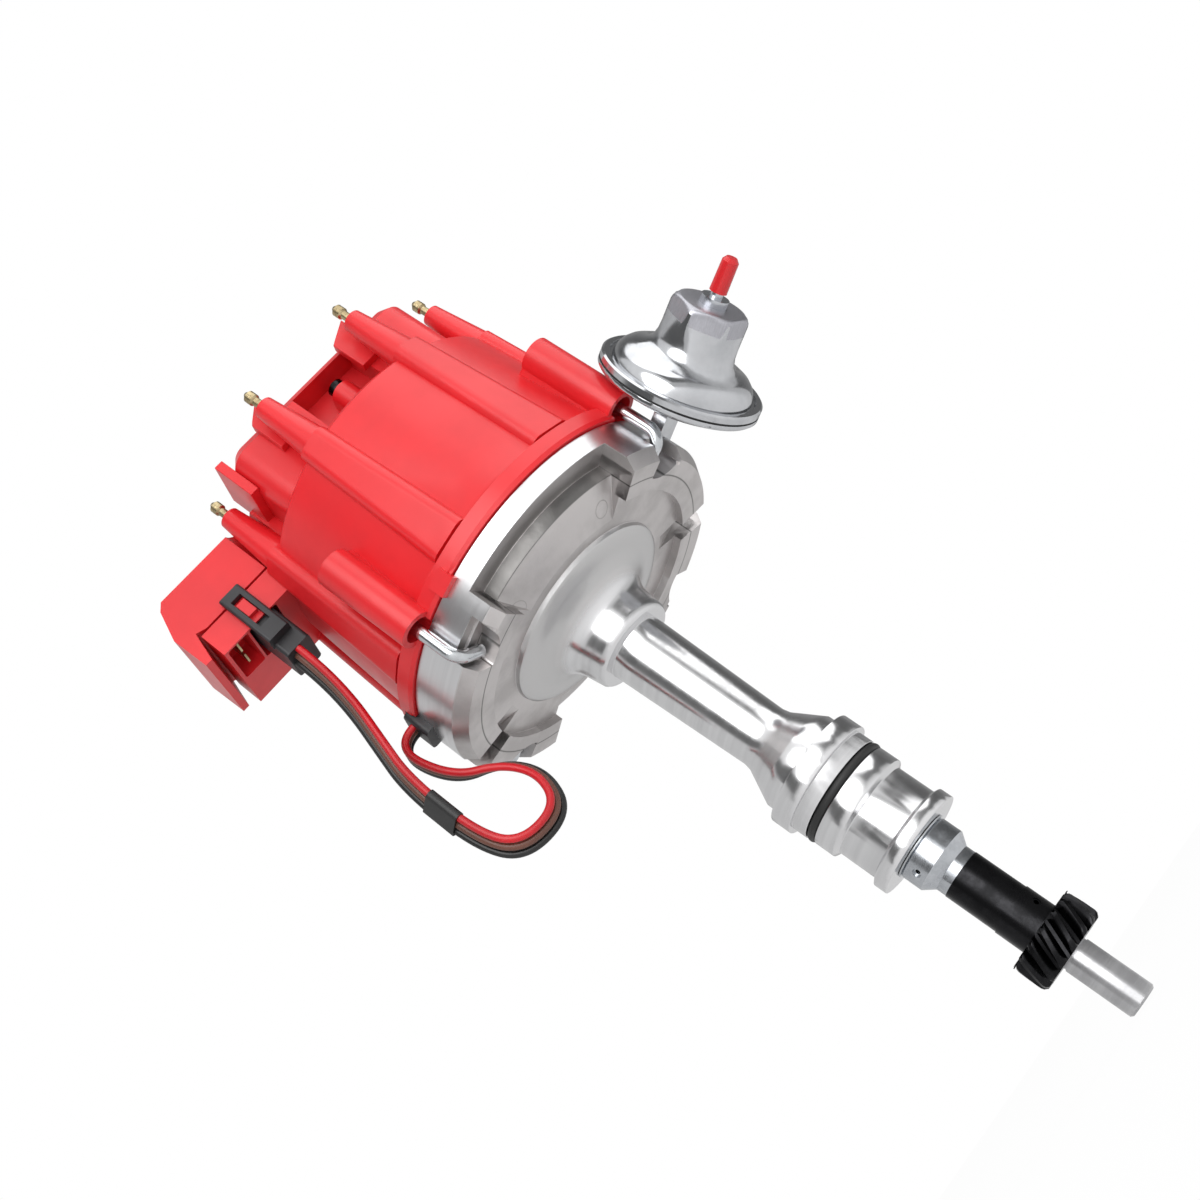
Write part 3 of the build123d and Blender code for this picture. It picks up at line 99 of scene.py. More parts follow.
def calc(tree, operation, *values):
    """A Math node's result; a value is a socket or a number."""
    node = tree.nodes.new("ShaderNodeMath")
    node.operation = operation
    for socket, value in zip(node.inputs, values):
        if isinstance(value, bpy.types.NodeSocket):
            tree.links.new(value, socket)
        else:
            socket.default_value = value
    return node.outputs[0]


def blend_colour(tree, factor, first, second):
    """Mixes two colours, each a socket or three numbers, by a factor socket."""
    node = tree.nodes.new("ShaderNodeMix")
    node.data_type = "RGBA"
    tree.links.new(factor, node.inputs["Factor"])
    for name, colour in (("A", first), ("B", second)):
        socket = [s for s in node.inputs if s.name == name and s.type == "RGBA"][0]
        if isinstance(colour, bpy.types.NodeSocket):
            tree.links.new(colour, socket)
        else:
            socket.default_value = (*colour, 1)
    return [s for s in node.outputs if s.type == "RGBA"][0]


def blend_value(tree, factor, first, second):
    """Mixes two values, each a socket or a number, by a factor socket."""
    node = tree.nodes.new("ShaderNodeMix")
    tree.links.new(factor, node.inputs["Factor"])
    for name, value in (("A", first), ("B", second)):
        socket = [s for s in node.inputs if s.name == name and s.type == "VALUE"][0]
        if isinstance(value, bpy.types.NodeSocket):
            tree.links.new(value, socket)
        else:
            socket.default_value = value
    return [s for s in node.outputs if s.type == "VALUE"][0]


def noise(tree, place, scale, detail=3.0, rough=0.55):
    """Noise between 0 and 1 at a place socket."""
    node = tree.nodes.new("ShaderNodeTexNoise")
    node.inputs["Scale"].default_value = scale
    node.inputs["Detail"].default_value = detail
    node.inputs["Roughness"].default_value = rough
    tree.links.new(place, node.inputs["Vector"])
    return node.outputs["Fac"]


def effect_group(name, inputs, outputs):
    """A shader node group with float or vector inputs and float outputs."""
    group = bpy.data.node_groups.new(name, "ShaderNodeTree")
    for label, kind, default in inputs:
        socket = group.interface.new_socket(label, in_out="INPUT", socket_type=kind)
        if default is not None:
            socket.default_value = default
    for label in outputs:
        group.interface.new_socket(label, in_out="OUTPUT", socket_type="NodeSocketFloat")
    given = group.nodes.new("NodeGroupInput").outputs
    result = group.nodes.new("NodeGroupOutput").inputs
    return group, given, result


def build_moulded_skin():
    """Moulded plastic: a fine orange-peel skin, soft flow clouds and a little handling haze."""
    group, given, result = effect_group(
        "moulded_skin",
        [("Place", "NodeSocketVector", None), ("Haze Low", "NodeSocketFloat", 0.3),
         ("Haze High", "NodeSocketFloat", 0.4)],
        ["Height", "Haze", "Cloud"],
    )
    fine = noise(group, given["Place"], 1500, 2)
    wide = noise(group, given["Place"], 240, 1)
    cloud = noise(group, given["Place"], 22, 4, 0.6)
    height = calc(group, "ADD", calc(group, "MULTIPLY", fine, 0.25), wide)
    group.links.new(height, result["Height"])
    spread = value_range(group, cloud, 0.35, 0.68, 0, 1, True)
    haze = blend_value(group, spread, given["Haze Low"], given["Haze High"])
    group.links.new(haze, result["Haze"])
    group.links.new(spread, result["Cloud"])
    return group


def build_turned_rings():
    """Metal turned in a lathe: fine rings along the shaft axis that vary from band to band."""
    group, given, result = effect_group(
        "turned_rings",
        [("Place", "NodeSocketVector", None), ("Pitch", "NodeSocketFloat", 0.0006)],
        ["Height", "Streak"],
    )
    parts = group.nodes.new("ShaderNodeSeparateXYZ")
    group.links.new(given["Place"], parts.inputs[0])
    joined = group.nodes.new("ShaderNodeCombineXYZ")
    group.links.new(calc(group, "DIVIDE", parts.outputs["Z"], given["Pitch"]), joined.inputs["Z"])
    rings = noise(group, joined.outputs[0], 1.0, 3, 0.6)
    bands = noise(group, joined.outputs[0], 0.09, 3, 0.6)
    group.links.new(rings, result["Height"])
    group.links.new(value_range(group, bands, 0.32, 0.68, 0, 1, True), result["Streak"])
    return group


def build_cast_skin():
    """Die-cast metal: soft flow marks, a fine tooth and scattered small pits."""
    group, given, result = effect_group(
        "cast_skin", [("Place", "NodeSocketVector", None)], ["Height", "Stain", "Pits"]
    )
    tooth = noise(group, given["Place"], 900, 3, 0.6)
    flow = noise(group, given["Place"], 45, 4, 0.6)
    cells = group.nodes.new("ShaderNodeTexVoronoi")
    cells.inputs["Scale"].default_value = 95
    group.links.new(given["Place"], cells.inputs["Vector"])
    pits = value_range(group, cells.outputs["Distance"], 0.02, 0.07, 1, 0, True)
    sparse = value_range(group, noise(group, given["Place"], 30, 1), 0.56, 0.6, 0, 1)
    pits = calc(group, "MULTIPLY", pits, sparse)
    height = calc(group, "MULTIPLY", tooth, 0.5)
    height = calc(group, "ADD", height, calc(group, "MULTIPLY", flow, 0.8))
    group.links.new(calc(group, "SUBTRACT", height, pits), result["Height"])
    group.links.new(value_range(group, flow, 0.35, 0.66, 0, 1, True), result["Stain"])
    group.links.new(pits, result["Pits"])
    return group


SKIN = build_moulded_skin()
RINGS = build_turned_rings()
CAST = build_cast_skin()


def use(tree, group, place, **values):
    """Places a shared group in a material and returns its outputs."""
    node = tree.nodes.new("ShaderNodeGroup")
    node.node_tree = group
    tree.links.new(place, node.inputs["Place"])
    for name, value in values.items():
        node.inputs[name.replace("_", " ")].default_value = value
    return node.outputs


def start_material(name, **values):
    """A new material; returns it, its tree, its Principled shader and Object coordinates."""
    material = bpy.data.materials.new(name)
    material.use_nodes = True
    tree = material.node_tree
    shader = tree.nodes["Principled BSDF"]
    for socket, value in values.items():
        shader.inputs[socket.replace("_", " ")].default_value = value
    place = tree.nodes.new("ShaderNodeTexCoord").outputs["Object"]
    return material, tree, shader, place


def add_bump(tree, shader, height, strength, distance):
    """Feeds a height to the shader's normal through a Bump node."""
    node = tree.nodes.new("ShaderNodeBump")
    node.inputs["Strength"].default_value = strength
    node.inputs["Distance"].default_value = distance
    tree.links.new(height, node.inputs["Height"])
    tree.links.new(node.outputs["Normal"], shader.inputs["Normal"])


def moulded(name, light, dark, haze, bump=0.12, **values):
    """Moulded plastic or rubber: two shades in soft clouds, and a haze that varies."""
    material, tree, shader, place = start_material(name, **values)
    skin = use(tree, SKIN, place, Haze_Low=haze[0], Haze_High=haze[1])
    tree.links.new(blend_colour(tree, skin["Cloud"], light, dark), shader.inputs["Base Color"])
    tree.links.new(skin["Haze"], shader.inputs["Roughness"])
    add_bump(tree, shader, skin["Height"], bump, 0.00015)
    return material


def turned_metal(name, light, dark, haze, pitch=0.0006, bump=0.1, **values):
    """Lathe-turned metal with fine rings about the shaft axis."""
    material, tree, shader, place = start_material(name, Metallic=1.0, **values)
    rings = use(tree, RINGS, place, Pitch=pitch)
    tree.links.new(blend_colour(tree, rings["Streak"], light, dark), shader.inputs["Base Color"])
    tree.links.new(value_range(tree, rings["Streak"], 0, 1, *haze), shader.inputs["Roughness"])
    add_bump(tree, shader, rings["Height"], bump, 0.0001)
    return material


def plated_metal(name, light, dark, haze, scale=130, bump=0.08, **values):
    """Plated or blackened metal with mottled shade and haze."""
    material, tree, shader, place = start_material(name, Metallic=1.0, **values)
    mottle = value_range(tree, noise(tree, place, scale, 5, 0.65), 0.35, 0.66, 0, 1, True)
    tree.links.new(blend_colour(tree, mottle, light, dark), shader.inputs["Base Color"])
    tree.links.new(value_range(tree, mottle, 0, 1, *haze), shader.inputs["Roughness"])
    add_bump(tree, shader, noise(tree, place, scale * 9, 2), bump, 0.0002)
    return material


red_plastic = moulded("red_plastic", (0.70, 0.016, 0.022), (0.61, 0.012, 0.017), (0.30, 0.40),
                      0.10, Coat_Weight=0.10, Coat_Roughness=0.2)
black_plastic = moulded("black_plastic", (0.022, 0.022, 0.025), (0.014, 0.014, 0.016),
                        (0.38, 0.52))
grey_resin = moulded("grey_resin", (0.10, 0.10, 0.11), (0.07, 0.07, 0.075), (0.45, 0.6))
black_rubber = moulded("black_rubber", (0.018, 0.018, 0.018), (0.010, 0.010, 0.010), (0.42, 0.6))
red_rubber = moulded("red_rubber", (0.60, 0.014, 0.018), (0.57, 0.013, 0.017), (0.20, 0.24))
carbon = moulded("carbon", (0.03, 0.03, 0.03), (0.02, 0.02, 0.02), (0.6, 0.75))
coil_tape = moulded("coil_tape", (0.30, 0.12, 0.04), (0.20, 0.08, 0.03), (0.45, 0.6))
red_insulation = moulded("red_insulation", (0.62, 0.008, 0.016), (0.45, 0.006, 0.012), (0.3, 0.4))
brown_insulation = moulded("brown_insulation", (0.16, 0.06, 0.04), (0.11, 0.045, 0.03),
                           (0.32, 0.42))
black_insulation = moulded("black_insulation", (0.014, 0.014, 0.014), (0.009, 0.009, 0.009),
                           (0.3, 0.4))
wound_tape = moulded("wound_tape", (0.025, 0.025, 0.025), (0.015, 0.015, 0.015), (0.35, 0.5))
bright_steel = plated_metal("bright_steel", (0.66, 0.68, 0.70), (0.54, 0.56, 0.58), (0.14, 0.26))
zinc_plate = plated_metal("zinc_plate", (0.58, 0.60, 0.63), (0.46, 0.48, 0.51), (0.16, 0.3))
black_oxide = plated_metal("black_oxide", (0.026, 0.026, 0.028), (0.015, 0.015, 0.016), (0.2, 0.34))
ground_steel = turned_metal("ground_steel", (0.56, 0.56, 0.57), (0.42, 0.42, 0.43), (0.16, 0.26))
sintered_bronze = turned_metal("sintered_bronze", (0.48, 0.33, 0.17), (0.36, 0.24, 0.12),
                               (0.4, 0.55))
aged_brass = plated_metal("aged_brass", (0.56, 0.46, 0.27), (0.32, 0.25, 0.14), (0.24, 0.42), 260)
lamination = turned_metal("lamination", (0.30, 0.30, 0.31), (0.16, 0.16, 0.17), (0.4, 0.6),
                          0.0005, 0.5)


def vector_step(tree, operation, first, second):
    """A Vector Math node for a socket and a fixed vector."""
    node = tree.nodes.new("ShaderNodeVectorMath")
    node.operation = operation
    tree.links.new(first, node.inputs[0])
    node.inputs[1].default_value = second
    return node.outputs


def within(tree, value, low, high, soft=0.0002):
    """1 where a value lies between two limits, with soft edges."""
    return calc(tree, "MULTIPLY", value_range(tree, value, low, low + soft, 0, 1),
                value_range(tree, value, high - soft, high, 1, 0))


def rising(tree, value, limits):
    """0 below a pair of limits and 1 above them."""
    return value_range(tree, value, *limits, 0, 1)


def falling(tree, value, limits):
    """1 below a pair of limits and 0 above them."""
    return value_range(tree, value, *limits, 1, 0)


def product(tree, first, *others):
    """The product of two or more sockets."""
    for other in others:
        first = calc(tree, "MULTIPLY", first, other)
    return first


def vector_length(tree, vector):
    """The length of a vector socket."""
    node = tree.nodes.new("ShaderNodeVectorMath")
    node.operation = "LENGTH"
    tree.links.new(vector, node.inputs[0])
    return node.outputs["Value"]


def outward(azimuth):
    """The level direction at an azimuth in degrees, counted from -Y towards +X."""
    angle = math.radians(azimuth)
    return Vector((math.sin(angle), -math.cos(angle), 0))


CANISTER_LINE = outward(42.5)
CANISTER_AT = Vector((16.22, 14.86, 120.5)) * MM
# Limits of the neck's flats along the canister's axis and away from it, in metres
BRUSHED_ALONG = (0.1126, 0.1237)
BRUSHED_REACH = (0.01425, 0.01435)
# Scales of the brush lines, which run along the axis
LINES_ALONG = 90
LINES_ACROSS = 2600


def canister_metal():
    """Bright zinc plate on pressed steel, with fine brush lines along the flats of the neck."""
    material, tree, shader, place = start_material("canister_metal", Metallic=1.0)
    offset = vector_step(tree, "SUBTRACT", place, CANISTER_AT)["Vector"]
    along = vector_step(tree, "DOT_PRODUCT", offset, CANISTER_LINE)["Value"]
    sideways = vector_step(tree, "CROSS_PRODUCT", offset, CANISTER_LINE)["Vector"]
    flats = product(tree, within(tree, along, *BRUSHED_ALONG),
                    falling(tree, vector_length(tree, sideways), BRUSHED_REACH))
    parts = tree.nodes.new("ShaderNodeSeparateXYZ")
    tree.links.new(sideways, parts.inputs[0])
    lines_at = tree.nodes.new("ShaderNodeCombineXYZ")
    tree.links.new(calc(tree, "MULTIPLY", along, LINES_ALONG), lines_at.inputs["X"])
    for axis in "YZ":
        across = calc(tree, "MULTIPLY", parts.outputs[axis], LINES_ACROSS)
        tree.links.new(across, lines_at.inputs[axis])
    lines = noise(tree, lines_at.outputs[0], 1.0, 3, 0.6)
    mottle = value_range(tree, noise(tree, place, 60, 4, 0.6), 0.35, 0.66, 0, 1, True)
    plate = blend_colour(tree, mottle, (0.60, 0.61, 0.63), (0.50, 0.51, 0.53))
    brushed = blend_colour(tree, lines, (0.34, 0.34, 0.37), (0.56, 0.56, 0.60))
    tree.links.new(blend_colour(tree, flats, plate, brushed), shader.inputs["Base Color"])
    plate_haze = value_range(tree, mottle, 0, 1, 0.1, 0.2)
    tree.links.new(blend_value(tree, flats, plate_haze, 0.4), shader.inputs["Roughness"])
    plate_grain = calc(tree, "MULTIPLY", noise(tree, place, 900, 2), 0.1)
    add_bump(tree, shader, blend_value(tree, flats, plate_grain, lines), 0.25, 0.0001)
    return material


# Round marks that the mould's ejectors left on the sloped underside of the bowl, in millimetres
EJECTOR_MARKS = ((-25.76, -42.34), (20.28, -45.8))
EJECTOR_R = 3.2
MARK_HALF = 0.25
# Zones of the casting by radius or height, in metres: each limit is a pair that it fades between
MARKS_HEIGHT = (0.1105, 0.1150)
STEM_END = (0.1005, 0.1055)
WALL_RADIUS = (0.0700, 0.0704)
WALL_BOTTOM = (0.1112, 0.1120)
RIB_RADIUS = (0.0388, 0.0394)
RIB_BOTTOM = (0.1000, 0.1040)
RIB_TOP = (0.1095, 0.1105)
# Limits of the recess walls, whose colour is darkened as painted shade
RECESS_INNER = (0.0600, 0.0604)
RECESS_OUTER = (0.0606, 0.0609)
RECESS_TOP = (0.1210, 0.1213)


def housing_metal():
    """Cast aluminium, turned bright on the stem, the pilot and the bowl's band."""
    material, tree, shader, place = start_material("housing_metal", Metallic=1.0)
    cast = use(tree, CAST, place)
    rings = use(tree, RINGS, place, Pitch=0.0005)
    parts = tree.nodes.new("ShaderNodeSeparateXYZ")
    tree.links.new(place, parts.inputs[0])
    height = parts.outputs["Z"]
    flat = tree.nodes.new("ShaderNodeCombineXYZ")
    tree.links.new(parts.outputs["X"], flat.inputs["X"])
    tree.links.new(parts.outputs["Y"], flat.inputs["Y"])
    radius = vector_length(tree, flat.outputs[0])
    stem = value_range(tree, height, *STEM_END, 1, 0, True)
    wall = product(tree, rising(tree, radius, WALL_RADIUS), rising(tree, height, WALL_BOTTOM))
    rib = product(tree, falling(tree, radius, RIB_RADIUS), rising(tree, height, RIB_BOTTOM),
                  falling(tree, height, RIB_TOP))
    turned_zone = calc(tree, "MAXIMUM", calc(tree, "MAXIMUM", stem, wall), rib)
    # Mask of the walls at the back of the recesses, where the colour gets painted shade
    painted_recess_shade = product(tree, rising(tree, radius, RECESS_INNER),
                     falling(tree, radius, RECESS_OUTER), falling(tree, height, RECESS_TOP))
    marks = None
    for mark in EJECTOR_MARKS:
        centre = (mark[0] * MM, mark[1] * MM, 0)
        apart = vector_step(tree, "DISTANCE", flat.outputs[0], centre)["Value"]
        ring = within(tree, apart, (EJECTOR_R - MARK_HALF) * MM, (EJECTOR_R + MARK_HALF) * MM)
        marks = ring if marks is None else calc(tree, "MAXIMUM", marks, ring)
    marks = calc(tree, "MULTIPLY", marks, within(tree, height, *MARKS_HEIGHT))
    colour = blend_colour(tree, cast["Stain"], (0.60, 0.575, 0.57), (0.50, 0.48, 0.475))
    colour = blend_colour(tree, cast["Pits"], colour, (0.10, 0.095, 0.09))
    # Painted shade: the walls at the back of the recesses are coloured dark grey
    colour = blend_colour(tree, painted_recess_shade, colour, (0.19, 0.185, 0.18))
    colour = blend_colour(tree, calc(tree, "MULTIPLY", marks, 0.5), colour, (0.26, 0.25, 0.245))
    turned_colour = blend_colour(tree, rings["Streak"], (0.78, 0.78, 0.79), (0.68, 0.68, 0.69))
    turned_colour = blend_colour(tree, rib, turned_colour, (0.58, 0.575, 0.575))
    colour = blend_colour(tree, turned_zone, colour, turned_colour)
    tree.links.new(colour, shader.inputs["Base Color"])
    cast_haze = value_range(tree, cast["Stain"], 0, 1, 0.36, 0.5)
    turned_haze = value_range(tree, rings["Streak"], 0, 1, 0.16, 0.24)
    duller = calc(tree, "MULTIPLY", calc(tree, "MAXIMUM", wall, rib), 0.1)
    turned_haze = calc(tree, "ADD", turned_haze, duller)
    haze = blend_value(tree, turned_zone, cast_haze, turned_haze)
    tree.links.new(haze, shader.inputs["Roughness"])
    relief = calc(tree, "SUBTRACT", calc(tree, "MULTIPLY", cast["Height"], 0.8), marks)
    turned_relief = calc(tree, "MULTIPLY", rings["Height"], 0.05)
    add_bump(tree, shader, blend_value(tree, turned_zone, relief, turned_relief), 0.35, 0.0003)
    return material


FINISH = {
    "red_plastic": red_plastic,
    "black_plastic": black_plastic,
    "grey_resin": grey_resin,
    "cast_aluminium": housing_metal(),
    "bronze": sintered_bronze,
    "shaft_steel": ground_steel,
    "bright_steel": bright_steel,
    "black_steel": black_oxide,
    "zinc_steel": zinc_plate,
    "lamination": lamination,
    "winding": coil_tape,
    "brass": aged_brass,
    "carbon": carbon,
    "rubber": black_rubber,
    "wire_red": red_insulation,
    "wire_brown": brown_insulation,
    "wire_black": black_insulation,
    "tape": wound_tape,
    "cap_orange": red_rubber,
}


def dress(obj, material):
    """Gives an object one material in all its slots."""
    if not obj.material_slots:
        obj.data.materials.append(material)
    for material_slot in obj.material_slots:
        material_slot.material = material


for entry in frame["record"]["subparts"]:
    dress(nodes[entry["node"]], FINISH[entry["material_slot"]])
dress(nodes["gear_pin"], black_oxide)
canister_plate = canister_metal()
dress(nodes["canister_base"], canister_plate)


# Pieces that finish the form of the solids

SHARP = math.radians(30)
MERGE_GAP = 0.01 * MM


def finish_piece(work, name, material, body, node=None):
    """Makes a bmesh an object on a body, with edges that turn more than SHARP left crisp."""
    for face in work.faces:
        face.smooth = True
    for edge in work.edges:
        edge.smooth = len(edge.link_faces) != 2 or edge.calc_face_angle(0) < SHARP
    mesh = bpy.data.meshes.new(name)
    work.to_mesh(mesh)
    work.free()
    if "custom_normal" in mesh.attributes:
        mesh.attributes.remove(mesh.attributes["custom_normal"])
    piece = bpy.data.objects.new(name, mesh)
    scene.collection.objects.link(piece)
    dress(piece, material)
    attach(piece, body)
    if node:
        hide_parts(node)
    return piece


FINISH_OF = {entry["node"]: entry["material_slot"] for entry in frame["record"]["subparts"]}


def shaped_copy(node, name, body, move):
    """A merged copy of a node's solid, its points moved in millimetres, to stand for the node."""
    work = bmesh.new()
    work.from_mesh(nodes[node].data)
    bmesh.ops.remove_doubles(work, verts=work.verts, dist=MERGE_GAP)
    for vert in work.verts:
        vert.co = move(vert.co / MM) * MM
    return finish_piece(work, name, FINISH[FINISH_OF[node]], body, node)


def spread(point, centre, factor):
    """A point moved away from an upright axis through a centre by a factor."""
    x = centre[0] + (point.x - centre[0]) * factor
    y = centre[1] + (point.y - centre[1]) * factor
    return Vector((x, y, point.z))


def graded(value, steps):
    """Straight steps between pairs of a value and its result."""
    for (low, first), (high, second) in zip(steps, steps[1:]):
        if value <= high:
            return first + (second - first) * max(0, value - low) / (high - low)
    return steps[-1][1]


TOWER_CIRCLE = 62.0
TOWER_ANGLES = [math.radians(22.5 + 45 * number) for number in range(8)]
TOWER_AXES = [(TOWER_CIRCLE * math.sin(angle), -TOWER_CIRCLE * math.cos(angle))
              for angle in TOWER_ANGLES]
TOWER_TOP = 235.0
TOWER_TIP_SHARE = 4.3 / 6.6
TOWER_REACH = 7.0
SKIRT_EDGE = 130.5
SKIRT_DROP = 1.0
SAME_HEIGHT = 0.05


def apart_from(axis, point):
    """How far a point lies from an upright axis."""
    return math.hypot(point.x - axis[0], point.y - axis[1])


def nearest_tower(point):
    """The axis of the tower nearest to a point."""
    return min(TOWER_AXES, key=lambda axis: apart_from(axis, point))


def cap_form(point):
    """Towers that taper to their tips, and a skirt that comes down to the bowl's ring."""
    axis = nearest_tower(point)
    if point.z > TOWER_TOP - 1 and apart_from(axis, point) < TOWER_REACH:
        return spread(point, axis, TOWER_TIP_SHARE)
    if abs(point.z - SKIRT_EDGE) < SAME_HEIGHT:
        return Vector((point.x, point.y, point.z - SKIRT_DROP))
    return point


# A height on the solid's stud with its new height, and with the factor on its width
STUD_HEIGHT = ((235, 235), (238.6, 239.6), (239.5, 240.4), (240.3, 241.5), (241.2, 242.4),
               (242.2, 243.4), (243.6, 245))
STUD_WIDTH = ((235, 0.586), (238.6, 0.586), (239.5, 1.068), (240.3, 1.068), (241.2, 0.81),
              (242.2, 0.81), (243.6, 0.56))


def stud_form(point):
    """A slim neck and a rounded head on each terminal."""
    if point.z < TOWER_TOP - 0.01:
        return point
    moved = spread(point, nearest_tower(point), graded(point.z, STUD_WIDTH))
    moved.z = graded(point.z, STUD_HEIGHT)
    return moved


COVER_BEND = 236.0
COVER_SHARE = 5 / 9


def cover_form(point):
    """The cover's crown drawn down, so that the fins beside it stand proud."""
    if point.z > COVER_BEND:
        return Vector((point.x, point.y, COVER_BEND + (point.z - COVER_BEND) * COVER_SHARE))
    return point


def quarter_turn(point):
    """A quarter turn about the shaft axis, which brings the cross pin's end into view."""
    return Vector((point.y, -point.x, point.z))


cap_piece = shaped_copy("cap", "cap_moulding", "housing", cap_form)
shaped_copy("cap_terminals", "terminal_studs", "housing", stud_form)
cover_piece = shaped_copy("coil_cover", "cover_moulding", "housing", cover_form)
collar_piece = shaped_copy("shaft_collar", "collar_turned", "shaft", quarter_turn)
shaped_copy("collar_pin", "collar_pin_turned", "shaft", quarter_turn)


def spun(work, profile, start, end, steps, centre=(0, 0, 0), axis=(0, 0, 1), out=None):
    """Adds a ring, or an arc between two azimuths, of a closed profile of radius and height."""
    across = out or outward(start)
    corners = [work.verts.new((Vector(centre) + across * radius + Vector(axis) * height) * MM)
               for radius, height in profile]
    face = work.faces.new(corners)
    edges = list(face.edges)
    ring = end - start >= 360
    if ring:
        work.faces.remove(face)
    geometry = corners + edges + ([] if ring else [face])
    bmesh.ops.spin(work, geom=geometry, cent=Vector(centre) * MM, axis=axis,
                   angle=math.radians(end - start), steps=steps, use_merge=ring,
                   use_duplicate=False)


# The bowl's outer ring
RING_IN = 60.3
RING_OUT = 70.5
RING_BEVEL = (3.5, 4.8)
RING_STEP = 1.5
LUG_IN = 53.9
LUG_ROOF = 112
RING_FOOT = 106.78
RING_ROOF = 121.3
RING_TOP = 129.0
POCKET_ROOF = 116.2
SLOT_FLOOR = 117.25
SLOT_ROOF = 123.75
# Arcs of the ring: two azimuths, bottom and top. A gap or a raised bottom is a recess or a pocket.
RING_BLOCKS = (
    (30.5, 44.4, RING_FOOT, RING_ROOF),
    (44.4, 55.5, POCKET_ROOF, RING_ROOF),
    (59.3, 69.0, RING_FOOT, SLOT_FLOOR),
    (69.0, 98.0, RING_FOOT, RING_ROOF),
    (108.0, 129.4, RING_FOOT, RING_ROOF),
    (129.4, 144.3, POCKET_ROOF, RING_ROOF),
    (144.3, 149.5, RING_FOOT, RING_ROOF),
    (210.5, 224.4, RING_FOOT, RING_ROOF),
    (224.4, 239.3, POCKET_ROOF, RING_ROOF),
    (239.3, 252.0, RING_FOOT, RING_ROOF),
    (262.0, 309.4, RING_FOOT, RING_ROOF),
    (309.4, 324.3, POCKET_ROOF, RING_ROOF),
    (324.3, 329.5, RING_FOOT, RING_ROOF),
    (69.0, 415.5, RING_ROOF, RING_TOP),
    (55.5, 69.0, SLOT_ROOF, RING_TOP),
)


def build_bowl_ring():
    """The ring flush with the cap's skirt, with its recesses and the latches' pockets."""
    ring = bmesh.new()
    for start, end, bottom, top in RING_BLOCKS:
        profile = [(RING_IN, bottom), (RING_OUT, bottom), (RING_OUT, top), (RING_IN, top)]
        if bottom == RING_FOOT:
            profile[:2] = [(RING_IN, LUG_ROOF), (LUG_IN, LUG_ROOF), (LUG_IN, bottom),
                           (RING_OUT - RING_BEVEL[0], bottom), (RING_OUT, bottom + RING_BEVEL[1])]
        spun(ring, profile, start, end, max(2, round((end - start) / RING_STEP)))
    bmesh.ops.recalc_face_normals(ring, faces=ring.faces)
    finish_piece(ring, "bowl_ring", FINISH["cast_aluminium"], "housing")


# The canister's front as radius and height along its axis: a crimped rim, a round shoulder, a cone
# and a round-nosed neck
FRONT_PROFILE = (
    (25, 0.4), (31, 0.4), (31, 2.4), (30.3, 3.0), (28.4, 3.0), (27.8, 2.2), (27.0, 2.2),
    (26.6, 4.4), (25.6, 6.4), (23.8, 8.2), (21, 9.6), (17.4, 11), (15.6, 13), (14.8, 16),
    (14.6, 19.5), (14.6, 28), (14.37, 29.15), (13.72, 30.12), (12.75, 30.77), (11.6, 31),
    (2.45, 31), (2.45, 27.5), (10.5, 27.5), (10.5, 16), (12.8, 11.6), (16, 9.4), (20.4, 7.6),
    (22.6, 6.4), (25, 2.6),
)
FRONT_STEPS = 96
DISC_AT = CANISTER_AT / MM + CANISTER_LINE * 88.4
SIDEWAYS = CANISTER_LINE.cross(Vector((0, 0, 1)))
FLATS_FROM = 19.6
FLATS_HALF = 12.75
FLATS_ANGLE = math.radians(60)
NECK_INSIDE = 11


def build_canister_front():
    """The canister's front, spun round its axis, with its neck drawn in to six flats."""
    front = bmesh.new()
    spun(front, FRONT_PROFILE, 0, 360, FRONT_STEPS, DISC_AT, CANISTER_LINE, Vector((0, 0, 1)))
    bmesh.ops.remove_doubles(front, verts=front.verts, dist=MERGE_GAP)
    bmesh.ops.recalc_face_normals(front, faces=front.faces)
    for vert in front.verts:
        offset = vert.co / MM - DISC_AT
        along = offset.dot(CANISTER_LINE)
        up, side = offset.z, offset.dot(SIDEWAYS)
        radius, angle = math.hypot(up, side), math.atan2(side, up)
        turn = (angle + FLATS_ANGLE / 2) % FLATS_ANGLE - FLATS_ANGLE / 2
        reach = radius * math.cos(turn)
        if along > FLATS_FROM and radius > NECK_INSIDE and reach > FLATS_HALF:
            across = (offset - CANISTER_LINE * along) * (FLATS_HALF / reach)
            vert.co = (DISC_AT + CANISTER_LINE * along + across) * MM
    finish_piece(front, "canister_front", canister_plate, "housing",
                 "canister_cover")


GEAR_TEETH = 14
GEAR_HEIGHT = 12.5
GEAR_LEAN = 25.0
GEAR_BORE = 6.4
GEAR_TIP = 15.5
GEAR_CHAMFER = 1.3
GEAR_STEPS = 12
HUB_SUNK = 0.3
CUT_GAP = 0.001 * MM
TOOTH_HALF = 180 / GEAR_TEETH
# One tooth: radius, and azimuth as a share of half a tooth
TOOTH_SHAPE = ((12.4, -0.78), (13.9, -0.5), (15.1, -0.36), (15.5, -0.22), (15.5, 0.22),
               (15.1, 0.36), (13.9, 0.5), (12.4, 0.78))


